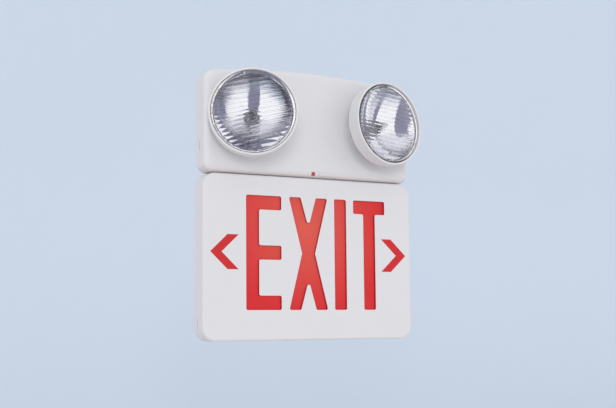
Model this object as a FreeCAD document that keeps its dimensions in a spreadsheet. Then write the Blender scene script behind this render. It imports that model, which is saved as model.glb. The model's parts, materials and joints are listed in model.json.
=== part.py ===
import FreeCAD, Part
import math
import os
from types import SimpleNamespace

import Sketcher
from FreeCAD import Placement, Rotation, Vector

# Emergency exit light: an arched lamp box with two round swivelling lamp heads, above a stencil sign.
# Millimetres. X runs to the right, Y into the wall and Z up. The origin is the centre of the
# junction box holes, on the back plane, and the fronts of both boxes face -Y.
# A lamp head's own frame has its tilt pin along X and its beam along Z, with the pivot at the origin.

SIZES = {
    # both boxes
    "case_depth": 28.0,  # wall plane to front faces
    "cover_wall": 2.5,  # moulded wall of both covers
    "plate_wall": 2.5,  # moulded back plate
    "fit_gap": 0.3,  # back plate, collars and plugs inside what holds them
    # sign box
    "sign_width": 322.5,
    "sign_height": 220.0,
    "sign_corner": 18.0,
    "sign_edge": 3.5,  # rounding round the front face
    # lamp box
    "seam": 1.0,  # gap between the two boxes
    "lamp_box_step": 2.25,  # its sides inside the sign's sides
    "lamp_box_height": 146.6,  # at the crest of the arched top
    "crown": 10.5,  # rise of the arch between the sides and the crest
    "low_corner": 13.0,
    "top_corner": 16.0,
    "lamp_box_edge": 7.5,  # rounding round the front face
    # legend windows
    "legend_rise": 6.5,  # centre of the legend above the centre of the sign
    "letter_height": 152.4,
    "letter_stroke": 19.05,
    "letter_corner": 2.5,
    "first_letter_left": -99.9,
    "first_letter_width": 52.4,
    "cross_left": -35.9,
    "cross_width": 59.8,
    "cross_stroke": 18.0,
    "cross_waist": 20.0,
    "crotch_depth": 34.0,
    "crotch_flat": 4.0,
    "bar_left": 34.8,
    "last_letter_left": 65.5,
    "last_letter_width": 51.6,
    "chevron_tip": 151.5,
    "chevron_reach": 40.8,
    "chevron_band": 16.2,
    "chevron_half": 23.0,
    # red panel behind the windows
    "panel_side": 5.25,  # inside the sign's sides
    "panel_end": 6.0,  # inside the sign's top and bottom
    "panel_corner": 13.0,
    "panel_thickness": 1.6,
    "peg_radius": 1.5,
    "peg_side": 16.25,
    "peg_end": 12.0,
    # back plate
    "bridge_width": 200.0,  # web that joins the plate's two halves through the seam
    "bridge_overlap": 2.0,
    "box_hole_spacing": 88.9,
    "box_hole_radius": 2.4,
    "cable_hole_radius": 11.0,
    "keyhole_side": 23.0,  # inside the lamp box's sides
    "keyhole_height": 112.0,  # above the lamp box's bottom
    "keyhole_head_radius": 5.0,
    "keyhole_slot_radius": 2.5,
    "keyhole_slot": 9.0,
    # snap catches between the back plate and the covers
    "catch_length": 12.0,
    "catch_slot": 3.0,
    "catch_arm": 1.5,
    "catch_barb": 1.95,
    "catch_depth": 10.0,  # wall plane to the middle of the slot
    "lamp_catch_height": 36.0,  # above the lamp box's bottom
    "sign_catch_height": 22.0,  # above the sign's bottom
    # charger board
    "board_width": 90.0,
    "board_height": 56.0,
    "board_thickness": 1.6,
    "board_rise": 3.6,  # above the lamp box's bottom
    "post_height": 4.0,
    "post_radius": 3.5,
    "post_inset": 5.0,
    "post_low": 10.0,  # the lower two posts above the board's lower edge
    "screw_radius": 1.25,
    "screw_fit": 0.1,
    "screw_head_radius": 2.8,
    "screw_head": 1.8,
    "screw_grip": 5.0,
    # parts that stand on the board, from its left, right and lower edges
    "core_left": 11.0,
    "core_low": 22.0,
    "core_width": 26.0,
    "core_height": 22.0,
    "core_depth": 14.0,
    "coil_inset": 4.0,  # inside the core's sides, and beyond its ends
    "coil_step": 2.0,  # behind the core's front, and above the board
    "relay_right": 22.0,
    "relay_low": 30.0,
    "relay_width": 19.0,
    "relay_height": 16.0,
    "relay_depth": 15.0,
    "capacitor_right": 13.0,
    "capacitor_low": 34.0,
    "capacitor_radius": 5.0,
    "capacitor_length": 12.0,
    "terminal_left": 11.0,
    "terminal_low": 3.0,
    "terminal_count": 5,
    "terminal_width": 5.0,
    "terminal_height": 8.0,
    "terminal_depth": 10.0,
    "terminal_well": 2.0,
    "terminal_well_radius": 1.9,
    # battery
    "cell_radius": 8.5,
    "cell_length": 50.0,
    "cell_count": 5,
    "wrap_thickness": 10.2,  # shrink wrap bridging the cells
    "battery_rise": 98.0,  # battery's centre above the lamp box's bottom
    "strap_width": 12.0,
    "strap_thickness": 1.0,
    "strap_foot": 11.0,
    # light strips of the sign
    "strip_width": 12.0,
    "strip_length": 250.0,
    "strip_end": 12.0,  # inside the sign's top and bottom
    "chip_count": 10,
    "chip_spacing": 25.0,
    "chip_side": 3.5,
    "chip_height": 1.9,
    "chip_middle": 7.2,  # from the strip's back edge
    "clip_spacing": 180.0,
    "clip_width": 8.0,
    "clip_height": 6.0,
    "clip_wall": 1.6,
    # indicator and test button, in the rounded bottom edge of the lamp box
    "key_gap": 0.15,  # round the indicator and the button
    "key_rise": 2.9,  # their lower edge above the lamp box's bottom
    "key_height": 4.7,
    "key_proud": 0.3,
    "indicator_left": 0.2,
    "indicator_width": 5.0,
    "indicator_depth": 13.0,
    "button_left": 12.0,
    "button_width": 28.0,
    "button_depth": 6.3,
    "button_ear": 2.0,
    "button_travel": 1.5,
    "switch_side": 7.0,
    "switch_height": 7.0,
    "switch_floor": 1.6,
    "plunger_radius": 1.6,
    "led_radius": 1.5,
    "led_skirt": 0.4,
    "led_skirt_height": 1.0,
    # lamp heads
    "head_side": 66.9,  # pivots inside the lamp box's sides
    "head_height": 72.7,  # above the lamp box's bottom
    "rim_radius": 58.9,
    "rim_reach": 47.0,  # pivot to rim
    "drum_radius": 57.4,  # at the drum's rear edge
    "drum_depth": 22.0,
    "cone_radius": 24.0,
    "cone_reach": 14.5,
    "neck_radius": 11.0,
    "neck_reach": 9.5,
    "neck_tail": 9.0,
    "neck_bore": 7.5,
    "head_wall": 2.1,
    "cone_step": 0.6,  # the cone's bore inside its foot
    "drum_bore": 54.2,
    "lip": 3.0,
    "lip_round": 1.0,
    "rear_round": 0.7,
    "head_gap": 0.3,  # lens and reflector inside the rim
    "lens_recess": 3.0,
    "lens_thickness": 2.0,
    "lens_dome": 2.3,
    "lens_window": 52.4,  # radius of the domed part
    "lens_key_width": 4.5,
    "lens_key_height": 1.0,
    "flute_field": 51.1,  # radius of the fluted field
    "flute_land": 1.5,  # thickness of the fluted field
    "flute_count": 17,
    "flute_spacing": 5.9,
    "flute_ridge": 0.4,
    "flute_depth": 0.9,
    "bowl_flange": 1.2,
    "bowl_wall": 1.0,
    "bowl_mouth": 52.6,
    "bowl_hole": 8.2,
    "bowl_floor": 15.2,  # pivot to the edge of the reflector's hole
    "bowl_waist": 30.0,
    "bowl_waist_reach": 24.0,
    "holder_tail": 7.2,
    "holder_front": 20.0,
    "holder_back": 5.0,
    "bulb_radius": 5.0,
    "bulb_length": 17.0,
    "bulb_base_width": 9.0,
    "bulb_base_thickness": 2.6,
    "bulb_base_depth": 6.5,
    # swivel collars
    "collar_hole": 30.0,
    "collar_bore": 22.0,
    "collar_flange": 34.0,
    "collar_face": 2.0,
    "collar_depth": 9.0,
    "collar_lift": 0.2,  # flange above the cover's face
    "groove_depth": 1.4,
    "clip_thickness": 1.3,
    "clip_radius": 32.5,
    "clip_opening": 14.0,
    "ear_gap": 0.4,
    "ear_radius": 5.0,
    "pin_radius": 2.0,
    "pin_running_fit": 0.08,
    "pin_press_fit": 0.02,
    "pin_length": 57.0,
    # how the heads stand, in degrees
    "left_swivel_angle": -11.0,
    "left_tilt_angle": -22.4,
    "left_lens_angle": 21.0,
    "right_swivel_angle": 26.0,
    "right_tilt_angle": 10.0,
    "right_lens_angle": -30.0,
}

DOC = FreeCAD.newDocument("exit_light")
PIECES = []


class Size:
    """A number together with the sheet formula that gives it."""

    def __init__(self, value, formula):
        self.value = value
        self.formula = formula

    def __add__(self, other):
        other = as_size(other)
        return Size(self.value + other.value, f"({self.formula} + {other.formula})")

    def __sub__(self, other):
        other = as_size(other)
        return Size(self.value - other.value, f"({self.formula} - {other.formula})")

    def __rsub__(self, other):
        return as_size(other) - self

    def __mul__(self, other):
        other = as_size(other)
        return Size(self.value * other.value, f"({self.formula} * {other.formula})")

    def __truediv__(self, other):
        other = as_size(other)
        return Size(self.value / other.value, f"({self.formula} / {other.formula})")

    def __neg__(self):
        return as_size(0) - self

    __radd__ = __add__
    __rmul__ = __mul__


def as_size(number):
    return number if isinstance(number, Size) else Size(float(number), f"{float(number):g}")


def make_sheet():
    """Fill the document's sheet and return its cells by name."""
    sheet = DOC.addObject("Spreadsheet::Sheet", "Sizes")
    for row, (name, value) in enumerate(SIZES.items(), start=1):
        sheet.set(f"A{row}", name.replace("_", " "))
        sheet.set(f"B{row}", str(value))
        sheet.setAlias(f"B{row}", name)
    DOC.recompute()
    return SimpleNamespace(**{name: Size(float(value), f"Sizes.{name}") for name, value in SIZES.items()})


s = make_sheet()

# Places that several pieces share
sign_top = s.sign_height / 2
sign_half = s.sign_width / 2
legend_middle = s.legend_rise
lamp_low = sign_top + s.seam
lamp_top = lamp_low + s.lamp_box_height
lamp_half = sign_half - s.lamp_box_step
arch_radius = (lamp_half * lamp_half + s.crown * s.crown) / (s.crown * 2)
inner_depth = s.case_depth - s.cover_wall
plate_inset = s.cover_wall + s.fit_gap
pivot_height = lamp_low + s.head_height
pivot_across = lamp_half - s.head_side
keyhole_across = lamp_half - s.keyhole_side
strip_level = sign_top - s.strip_end
board_back = s.plate_wall + s.post_height
board_front = board_back + s.board_thickness
board_low = lamp_low + s.board_rise
key_low = lamp_low + s.key_rise
key_middle = key_low + s.key_height / 2
edge_centre_depth = s.case_depth - s.lamp_box_edge
edge_centre_height = lamp_low + s.lamp_box_edge
battery_middle = lamp_low + s.battery_rise
battery_half = s.cell_radius * s.cell_count
board_half = s.board_width / 2
battery_front = s.plate_wall + s.fit_gap + s.cell_radius * 2


# ---------------------------------------------------------------- helpers

def bind(item, name, size):
    item.setExpression(name, as_size(size).formula)


def new_body(label):
    body = DOC.addObject("PartDesign::Body", label)
    body.Label = label
    body.AllowCompound = True
    PIECES.append(body)
    return body


def new_sketch(body, role, lift=0):
    """Start a sketch on one of the body's origin planes, lifted along the plane's normal."""
    sketch = body.newObject("Sketcher::SketchObject", "Sketch")
    plane = next(item for item in body.Origin.OriginFeatures if item.Role == role)
    sketch.AttachmentSupport = [(plane, "")]
    sketch.MapMode = "FlatFace"
    bind(sketch, "AttachmentOffset.Base.z", lift)
    return sketch


def constrain(sketch, size, *definition):
    index = sketch.addConstraint(Sketcher.Constraint(*definition, size.value))
    sketch.setExpression(f"Constraints[{index}]", size.formula)


def tie(sketch, geometry, point, across=None, up=None):
    """Hold a sketch point's distances from the sketch's origin."""
    if across is not None:
        constrain(sketch, as_size(across), "DistanceX", -1, 1, geometry, point)
    if up is not None:
        constrain(sketch, as_size(up), "DistanceY", -1, 1, geometry, point)


def flat(across, up):
    return Vector(as_size(across).value, as_size(up).value, 0)


def polygon(sketch, corners):
    first = sketch.GeometryCount
    count = len(corners)
    for index, corner in enumerate(corners):
        sketch.addGeometry(Part.LineSegment(flat(*corner), flat(*corners[(index + 1) % count])))
    for index, corner in enumerate(corners):
        following = first + (index + 1) % count
        sketch.addConstraint(Sketcher.Constraint("Coincident", first + index, 2, following, 1))
        tie(sketch, first + index, 1, *corner)


def rectangle(sketch, left, low, right, top):
    polygon(sketch, [(left, low), (right, low), (right, top), (left, top)])


def circle(sketch, across, up, radius):
    radius = as_size(radius)
    index = sketch.addGeometry(Part.Circle(flat(across, up), Vector(0, 0, 1), radius.value))
    tie(sketch, index, 3, across, up)
    constrain(sketch, radius, "Radius", index)


def arched_outline(sketch, inset):
    """Outline of the lamp box, moved inwards by an inset: three straight sides under a shallow arch."""
    half = lamp_half - inset
    low = lamp_low + inset
    radius = arch_radius - inset
    centre = lamp_top - arch_radius
    reach = math.asin(half.value / radius.value)
    shoulder = centre.value + radius.value * math.cos(reach)
    corners = [flat(-half, low), flat(half, low), flat(half, shoulder), flat(-half, shoulder)]
    base = sketch.GeometryCount
    right, top, left = base + 1, base + 2, base + 3
    sketch.addGeometry(Part.LineSegment(corners[0], corners[1]))
    sketch.addGeometry(Part.LineSegment(corners[1], corners[2]))
    arch = Part.Circle(flat(0, centre), Vector(0, 0, 1), radius.value)
    sketch.addGeometry(Part.ArcOfCircle(arch, math.pi / 2 - reach, math.pi / 2 + reach))
    sketch.addGeometry(Part.LineSegment(corners[3], corners[0]))
    for one, other in ((base, right), (right, top), (top, left), (left, base)):
        sketch.addConstraint(Sketcher.Constraint("Coincident", one, 2, other, 1))
    tie(sketch, base, 1, -half, low)
    tie(sketch, right, 1, half, low)
    tie(sketch, top, 3, 0, centre)
    constrain(sketch, radius, "Radius", top)
    tie(sketch, top, 1, across=half)
    tie(sketch, top, 2, across=-half)


def extrude(kind, body, sketch, length, reverse=False, symmetric=False):
    """Pad or pocket a sketch, and make sure that the body really grew or shrank."""
    DOC.recompute()
    before = body.Tip.Shape.Volume if body.Tip else 0
    feature = body.newObject(kind, kind.split("::")[1])
    feature.Profile = sketch
    feature.Reversed = reverse
    if symmetric:
        feature.SideType = "Symmetric"
    if length is None:
        feature.Type = "ThroughAll"
    else:
        bind(feature, "Length", length)
    sketch.Visibility = False
    DOC.recompute()
    change = feature.Shape.Volume - before
    if change * (-1 if kind.endswith("Pocket") else 1) < 1e-3:
        raise RuntimeError(f"{body.Label}: {feature.Name} changes nothing")
    return feature


def pad(body, sketch, length, **way):
    return extrude("PartDesign::Pad", body, sketch, length, **way)


def pocket(body, sketch, length=None, **way):
    return extrude("PartDesign::Pocket", body, sketch, length, **way)


def revolve(body, sketch):
    feature = body.newObject("PartDesign::Revolution", "Revolution")
    feature.Profile = sketch
    feature.ReferenceAxis = (sketch, ["V_Axis"])
    feature.Angle = 360
    sketch.Visibility = False
    DOC.recompute()
    return feature


def repeat(body, feature, sketch, pitch, count):
    """Repeat a feature along its sketch's horizontal axis."""
    pattern = body.newObject("PartDesign::LinearPattern", "LinearPattern")
    pattern.Originals = [feature]
    pattern.Direction = (sketch, ["H_Axis"])
    bind(pattern, "Length", pitch * (count - 1))
    bind(pattern, "Occurrences", count)
    body.Tip = pattern
    DOC.recompute()


def round_edges(body, radius, chosen):
    """Fillet the edges of the body's tip that the test picks."""
    DOC.recompute()
    base = body.Tip
    names = [f"Edge{index}" for index, edge in enumerate(base.Shape.Edges, start=1) if chosen(edge)]
    feature = body.newObject("PartDesign::Fillet", "Fillet")
    feature.Base = (base, names)
    bind(feature, "Radius", radius)
    DOC.recompute()


def runs_along_depth(edge):
    """Tell whether an edge is straight and parallel to Y."""
    if len(edge.Vertexes) != 2 or edge.Curve.TypeId != "Part::GeomLine":
        return False
    step = edge.Vertexes[1].Point - edge.Vertexes[0].Point
    return abs(step.x) < 1e-6 and abs(step.z) < 1e-6


def lies_at_depth(edge, depth):
    box = edge.BoundBox
    return abs(box.YMin + depth.value) < 1e-6 and abs(box.YMax + depth.value) < 1e-6


def hollow(body, wall):
    """Shell the body inwards, open at the wall plane."""
    DOC.recompute()
    base = body.Tip
    back = max(range(len(base.Shape.Faces)), key=lambda index: base.Shape.Faces[index].CenterOfMass.y)
    feature = body.newObject("PartDesign::Thickness", "Thickness")
    feature.Base = (base, [f"Face{back + 1}"])
    bind(feature, "Value", wall)
    feature.Reversed = True
    feature.Join = "Arc"
    DOC.recompute()


def box(label, low, high):
    """A Part box between two corners, given as sizes."""
    item = DOC.addObject("Part::Box", label)
    for axis, side, start, end in zip("xyz", ("Length", "Width", "Height"), low, high):
        bind(item, f"Placement.Base.{axis}", start)
        bind(item, side, as_size(end) - start)
    return item


def rod(label, radius, length, place, direction):
    """A Part cylinder that starts at a place and runs along a direction."""
    item = DOC.addObject("Part::Cylinder", label)
    item.Placement = Placement(Vector(0, 0, 0), Rotation(Vector(0, 0, 1), direction))
    for axis, value in zip("xyz", place):
        bind(item, f"Placement.Base.{axis}", value)
    bind(item, "Radius", radius)
    bind(item, "Height", length)
    return item


def join(label, kind, *items):
    """Combine Part objects into one named piece or group."""
    item = DOC.addObject(kind, label)
    if kind == "Part::Compound":
        item.Links = list(items)
    elif kind == "Part::Cut":
        item.Base, item.Tool = items
    else:
        item.Shapes = list(items)
    return item


def keep(item, label):
    """Register a finished Part object as one of the light's pieces."""
    item.Label = label
    PIECES.append(item)
    return item


# ---------------------------------------------------------------- back plate and covers

def catch_heights():
    return lamp_low + s.lamp_catch_height, -sign_top + s.sign_catch_height


def back_plate():
    body = new_body("back_plate")
    plate_half = sign_half - plate_inset
    plate_top = sign_top - plate_inset
    bridge_half = s.bridge_width / 2
    lamp_plate_low = lamp_low + plate_inset

    sketch = new_sketch(body, "XZ_Plane")
    rectangle(sketch, -plate_half, -plate_top, plate_half, plate_top)
    pad(body, sketch, s.plate_wall)
    round_edges(body, s.sign_corner - plate_inset, runs_along_depth)

    sketch = new_sketch(body, "XZ_Plane")
    rectangle(sketch, -bridge_half, plate_top - s.bridge_overlap,
              bridge_half, lamp_plate_low + s.bridge_overlap)
    pad(body, sketch, s.plate_wall)

    sketch = new_sketch(body, "XZ_Plane")
    arched_outline(sketch, plate_inset)
    pad(body, sketch, s.plate_wall)
    outer = (lamp_half - plate_inset - s.fit_gap).value

    def lamp_corner(edge, upper):
        point = edge.Vertexes[0].Point
        if not runs_along_depth(edge) or abs(point.x) < outer or point.z < lamp_low.value:
            return False
        return (point.z > pivot_height.value) == upper

    round_edges(body, s.low_corner - plate_inset, lambda edge: lamp_corner(edge, False))
    round_edges(body, s.top_corner - plate_inset, lambda edge: lamp_corner(edge, True))

    # keyholes, junction box holes and cable entry
    keyhole_up = lamp_low + s.keyhole_height
    sketch = new_sketch(body, "XZ_Plane")
    for side in (-1, 1):
        circle(sketch, s.box_hole_spacing / 2 * side, 0, s.box_hole_radius)
        circle(sketch, keyhole_across * side, keyhole_up, s.keyhole_head_radius)
    circle(sketch, 0, 0, s.cable_hole_radius)
    pocket(body, sketch, s.plate_wall, reverse=True)
    sketch = new_sketch(body, "XZ_Plane")
    for side in (-1, 1):
        middle = keyhole_across * side
        rectangle(sketch, middle - s.keyhole_slot_radius, keyhole_up,
                  middle + s.keyhole_slot_radius, keyhole_up + s.keyhole_slot)
    pocket(body, sketch, s.plate_wall, reverse=True)
    sketch = new_sketch(body, "XZ_Plane")
    for side in (-1, 1):
        circle(sketch, keyhole_across * side, keyhole_up + s.keyhole_slot, s.keyhole_slot_radius)
    pocket(body, sketch, s.plate_wall, reverse=True)

    # posts for the charger board and for the battery strap, with their pilot holes
    held_pieces = ((board_screw_places(), s.board_thickness), (strap_screw_places(), s.strap_thickness))
    for places, thickness in held_pieces:
        sketch = new_sketch(body, "XZ_Plane", s.plate_wall)
        for across, up in places:
            circle(sketch, across, up, s.post_radius)
        pad(body, sketch, s.post_height)
        sketch = new_sketch(body, "XZ_Plane", board_back)
        for across, up in places:
            circle(sketch, across, up, s.screw_radius + s.screw_fit)
        pocket(body, sketch, s.screw_grip - thickness + s.fit_gap)

    # clips that hold the light strips on edge
    strip_half = s.board_thickness / 2
    sketch = new_sketch(body, "XZ_Plane", s.plate_wall)
    clip_sections(sketch, strip_half + s.clip_wall)
    pad(body, sketch, s.clip_height)
    sketch = new_sketch(body, "XZ_Plane", s.plate_wall + s.clip_height)
    clip_sections(sketch, strip_half)
    pocket(body, sketch, s.clip_height / 2)

    # snap catches: an arm along each side wall with a barb that enters the cover's slot
    for half, level in zip((lamp_half, sign_half), catch_heights()):
        sketch = new_sketch(body, "XY_Plane", level)
        for side in (-1, 1):
            inside = (half - plate_inset - s.catch_arm) * side
            outside = (half - plate_inset) * side
            barb = (half - plate_inset + s.catch_barb) * side
            barb_back = -(s.catch_depth - s.catch_slot / 2 + s.fit_gap)
            tip = -(s.catch_depth + s.catch_slot / 2 - s.fit_gap)
            polygon(sketch, [(inside, -s.plate_wall / 2), (outside, -s.plate_wall / 2), (outside, barb_back),
                             (barb, barb_back), (outside, tip), (inside, tip)])
        pad(body, sketch, s.catch_length - s.fit_gap * 2, symmetric=True)


def clip_sections(sketch, half_height):
    """The four clips of the light strips, or the slots in them, as seen from the front."""
    half = s.clip_width / 2
    for level in (-strip_level, strip_level):
        for middle in (-s.clip_spacing / 2, s.clip_spacing / 2):
            rectangle(sketch, middle - half, level - half_height, middle + half, level + half_height)


def cut_catches(body, level):
    """Slots right across the body's two side walls, for the back plate's catches."""
    sketch = new_sketch(body, "YZ_Plane")
    rectangle(sketch, -(s.catch_depth + s.catch_slot / 2), level - s.catch_length / 2,
              -(s.catch_depth - s.catch_slot / 2), level + s.catch_length / 2)
    pocket(body, sketch, symmetric=True)


def cut_bridge(body, low, high):
    """Notch in a cover's wall at the wall plane, for the web between the plate's halves."""
    half = s.bridge_width / 2 + s.fit_gap
    sketch = new_sketch(body, "XZ_Plane")
    rectangle(sketch, -half, low, half, high)
    pocket(body, sketch, s.plate_wall + s.fit_gap, reverse=True)


def lamp_cover():
    body = new_body("lamp_cover")
    sketch = new_sketch(body, "XZ_Plane")
    arched_outline(sketch, as_size(0))
    pad(body, sketch, s.case_depth)

    def corner(edge, upper):
        return runs_along_depth(edge) and (edge.Vertexes[0].Point.z > pivot_height.value) == upper

    round_edges(body, s.low_corner, lambda edge: corner(edge, False))
    round_edges(body, s.top_corner, lambda edge: corner(edge, True))
    round_edges(body, s.lamp_box_edge, lambda edge: lies_at_depth(edge, s.case_depth))
    hollow(body, s.cover_wall)

    sketch = new_sketch(body, "XZ_Plane", s.case_depth)
    for side in (-1, 1):
        circle(sketch, pivot_across * side, pivot_height, s.collar_hole)
    pocket(body, sketch, s.cover_wall)
    sketch = new_sketch(body, "XZ_Plane", s.case_depth)
    for left, width in ((s.indicator_left, s.indicator_width), (s.button_left, s.button_width)):
        rectangle(sketch, left - s.key_gap, key_low - s.key_gap,
                  left + width + s.key_gap, key_low + s.key_height + s.key_gap)
    pocket(body, sketch, s.lamp_box_edge)
    cut_catches(body, catch_heights()[0])
    cut_bridge(body, lamp_low, lamp_low + s.cover_wall)


def arms_letter(left, width, low, height):
    """Corners of a letter with three equal arms on an upright stem."""
    stem = left + s.letter_stroke
    right = left + width
    top = low + height
    middle = low + height / 2
    half = s.letter_stroke / 2
    return [(left, low), (right, low), (right, low + s.letter_stroke), (stem, low + s.letter_stroke),
            (stem, middle - half), (right, middle - half), (right, middle + half), (stem, middle + half),
            (stem, top - s.letter_stroke), (right, top - s.letter_stroke), (right, top), (left, top)]


def cross_letter(left, width, low, height):
    """Corners of a letter of two crossing strokes, with blunt crotches."""
    right = left + width
    top = low + height
    middle = left + width / 2
    waist = low + height / 2
    flat_half = s.crotch_flat / 2
    return [(left, low), (left + s.cross_stroke, low), (middle - flat_half, low + s.crotch_depth),
            (middle + flat_half, low + s.crotch_depth), (right - s.cross_stroke, low), (right, low),
            (middle + s.cross_waist / 2, waist), (right, top), (right - s.cross_stroke, top),
            (middle + flat_half, top - s.crotch_depth), (middle - flat_half, top - s.crotch_depth),
            (left + s.cross_stroke, top), (left, top), (middle - s.cross_waist / 2, waist)]


def beam_letter(left, width, low, height):
    """Corners of a letter with one beam on a central stem."""
    right = left + width
    top = low + height
    stem_left = left + width / 2 - s.letter_stroke / 2
    stem_right = stem_left + s.letter_stroke
    return [(stem_left, low), (stem_right, low), (stem_right, top - s.letter_stroke),
            (right, top - s.letter_stroke), (right, top), (left, top),
            (left, top - s.letter_stroke), (stem_left, top - s.letter_stroke)]


def chevron(side):
    """Corners of a direction chevron that points outwards on one side of the legend."""
    tip = s.chevron_tip * side
    vertex = (s.chevron_tip - s.chevron_band) * side
    inner = (s.chevron_tip - s.chevron_reach) * side
    outer = (s.chevron_tip - s.chevron_reach + s.chevron_band) * side
    low = legend_middle - s.chevron_half
    high = legend_middle + s.chevron_half
    return [(tip, legend_middle), (outer, high), (inner, high),
            (vertex, legend_middle), (inner, low), (outer, low)]


def sign_cover():
    body = new_body("sign_cover")
    sketch = new_sketch(body, "XZ_Plane")
    rectangle(sketch, -sign_half, -sign_top, sign_half, sign_top)
    pad(body, sketch, s.case_depth)
    round_edges(body, s.sign_corner, runs_along_depth)
    round_edges(body, s.sign_edge, lambda edge: lies_at_depth(edge, s.case_depth))
    hollow(body, s.cover_wall)

    low = legend_middle - s.letter_height / 2
    sketch = new_sketch(body, "XZ_Plane", s.case_depth)
    polygon(sketch, arms_letter(s.first_letter_left, s.first_letter_width, low, s.letter_height))
    polygon(sketch, cross_letter(s.cross_left, s.cross_width, low, s.letter_height))
    rectangle(sketch, s.bar_left, low, s.bar_left + s.letter_stroke, low + s.letter_height)
    polygon(sketch, beam_letter(s.last_letter_left, s.last_letter_width, low, s.letter_height))
    pocket(body, sketch, s.cover_wall)
    legend_end = (s.last_letter_left + s.last_letter_width + s.fit_gap).value

    def letter_edge(edge):
        return runs_along_depth(edge) and abs(edge.Vertexes[0].Point.x) < legend_end

    round_edges(body, s.letter_corner, letter_edge)
    sketch = new_sketch(body, "XZ_Plane", s.case_depth)
    for side in (-1, 1):
        polygon(sketch, chevron(side))
    pocket(body, sketch, s.cover_wall)

    sketch = new_sketch(body, "XZ_Plane", inner_depth)
    peg_circles(sketch, s.peg_radius)
    pad(body, sketch, s.panel_thickness * 2, reverse=True)
    cut_catches(body, catch_heights()[1])
    cut_bridge(body, sign_top - s.cover_wall, sign_top)


def peg_circles(sketch, radius):
    for side in (-1, 1):
        for end in (-1, 1):
            circle(sketch, (sign_half - s.peg_side) * side, (sign_top - s.peg_end) * end, radius)


def red_panel():
    body = new_body("red_panel")
    sketch = new_sketch(body, "XZ_Plane", inner_depth)
    half = sign_half - s.panel_side
    top = sign_top - s.panel_end
    rectangle(sketch, -half, -top, half, top)
    pad(body, sketch, s.panel_thickness, reverse=True)
    round_edges(body, s.panel_corner, runs_along_depth)
    sketch = new_sketch(body, "XZ_Plane", inner_depth)
    peg_circles(sketch, s.peg_radius + s.fit_gap)
    pocket(body, sketch, s.panel_thickness)


def chevron_inserts():
    for name, side in (("left", -1), ("right", 1)):
        body = new_body(f"chevron_insert_{name}")
        sketch = new_sketch(body, "XZ_Plane", s.case_depth)
        polygon(sketch, chevron(side))
        pad(body, sketch, s.cover_wall, reverse=True)


# ---------------------------------------------------------------- light strips of the sign

def light_strips():
    for name, side in (("top", 1), ("bottom", -1)):
        level = strip_level * side
        back = s.plate_wall + s.clip_height / 2
        body = new_body(f"light_strip_{name}")
        sketch = new_sketch(body, "XY_Plane", level)
        rectangle(sketch, -s.strip_length / 2, -(back + s.strip_width), s.strip_length / 2, -back)
        pad(body, sketch, s.board_thickness, symmetric=True)

        body = new_body(f"light_chips_{name}")
        first = -(s.chip_spacing * (s.chip_count - 1)) / 2
        middle = -(back + s.chip_middle)
        sketch = new_sketch(body, "XY_Plane", level - s.board_thickness / 2 * side)
        rectangle(sketch, first - s.chip_side / 2, middle - s.chip_side / 2,
                  first + s.chip_side / 2, middle + s.chip_side / 2)
        chip = pad(body, sketch, s.chip_height, reverse=side > 0)
        repeat(body, chip, sketch, s.chip_spacing, s.chip_count)


# ---------------------------------------------------------------- battery and charger

def board_screw_places():
    across = board_half - s.post_inset
    low = board_low + s.post_low
    high = board_low + s.board_height - s.post_inset
    return [(-across, low), (across, low), (-across, high), (across, high)]


def strap_screw_places():
    across = battery_half + s.fit_gap + s.strap_thickness + s.strap_foot / 2
    return [(-across, battery_middle), (across, battery_middle)]


def battery():
    body = new_body("battery_pack")
    back = -(s.plate_wall + s.fit_gap)
    middle = back - s.cell_radius
    low = battery_middle - s.cell_length / 2
    sketch = new_sketch(body, "XY_Plane", low)
    first = -(s.cell_radius * 2 * (s.cell_count - 1)) / 2
    circle(sketch, first, middle, s.cell_radius)
    cell = pad(body, sketch, s.cell_length)
    repeat(body, cell, sketch, s.cell_radius * 2, s.cell_count)
    sketch = new_sketch(body, "XY_Plane", low)
    wrap = s.wrap_thickness / 2
    rectangle(sketch, first, middle - wrap, -first, middle + wrap)
    pad(body, sketch, s.cell_length)

    body = new_body("battery_strap")
    inner = battery_half + s.fit_gap
    outer = inner + s.strap_thickness
    toe = outer + s.strap_foot
    top = -(battery_front + s.fit_gap)
    foot = -board_back
    sketch = new_sketch(body, "XY_Plane", battery_middle)
    polygon(sketch, [(-toe, foot), (-inner, foot), (-inner, top), (inner, top), (inner, foot), (toe, foot),
                     (toe, foot - s.strap_thickness), (outer, foot - s.strap_thickness),
                     (outer, top - s.strap_thickness), (-outer, top - s.strap_thickness),
                     (-outer, foot - s.strap_thickness), (-toe, foot - s.strap_thickness)])
    pad(body, sketch, s.strap_width, symmetric=True)
    sketch = new_sketch(body, "XZ_Plane", board_back + s.strap_thickness)
    for across, up in strap_screw_places():
        circle(sketch, across, up, s.screw_radius + s.fit_gap)
    pocket(body, sketch, s.strap_thickness)


def screws(label, places, seat):
    """Pan head screws, all driven into the posts from the front."""
    solids = []
    for index, (across, up) in enumerate(places):
        under_head = (across, -seat, up)
        head = rod(f"{label}_head_{index}", s.screw_head_radius, s.screw_head, under_head, Vector(0, -1, 0))
        shank = rod(f"{label}_shank_{index}", s.screw_radius, s.screw_grip, under_head, Vector(0, 1, 0))
        solids.append(join(f"{label}_{index}", "Part::MultiFuse", head, shank))
    keep(join(label, "Part::Compound", *solids), label)


def charger_board():
    body = new_body("charger_board")
    sketch = new_sketch(body, "XZ_Plane", board_back)
    rectangle(sketch, -board_half, board_low, board_half, board_low + s.board_height)
    pad(body, sketch, s.board_thickness)
    sketch = new_sketch(body, "XZ_Plane", board_front)
    for across, up in board_screw_places():
        circle(sketch, across, up, s.screw_radius + s.fit_gap)
    pocket(body, sketch, s.board_thickness)


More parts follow.
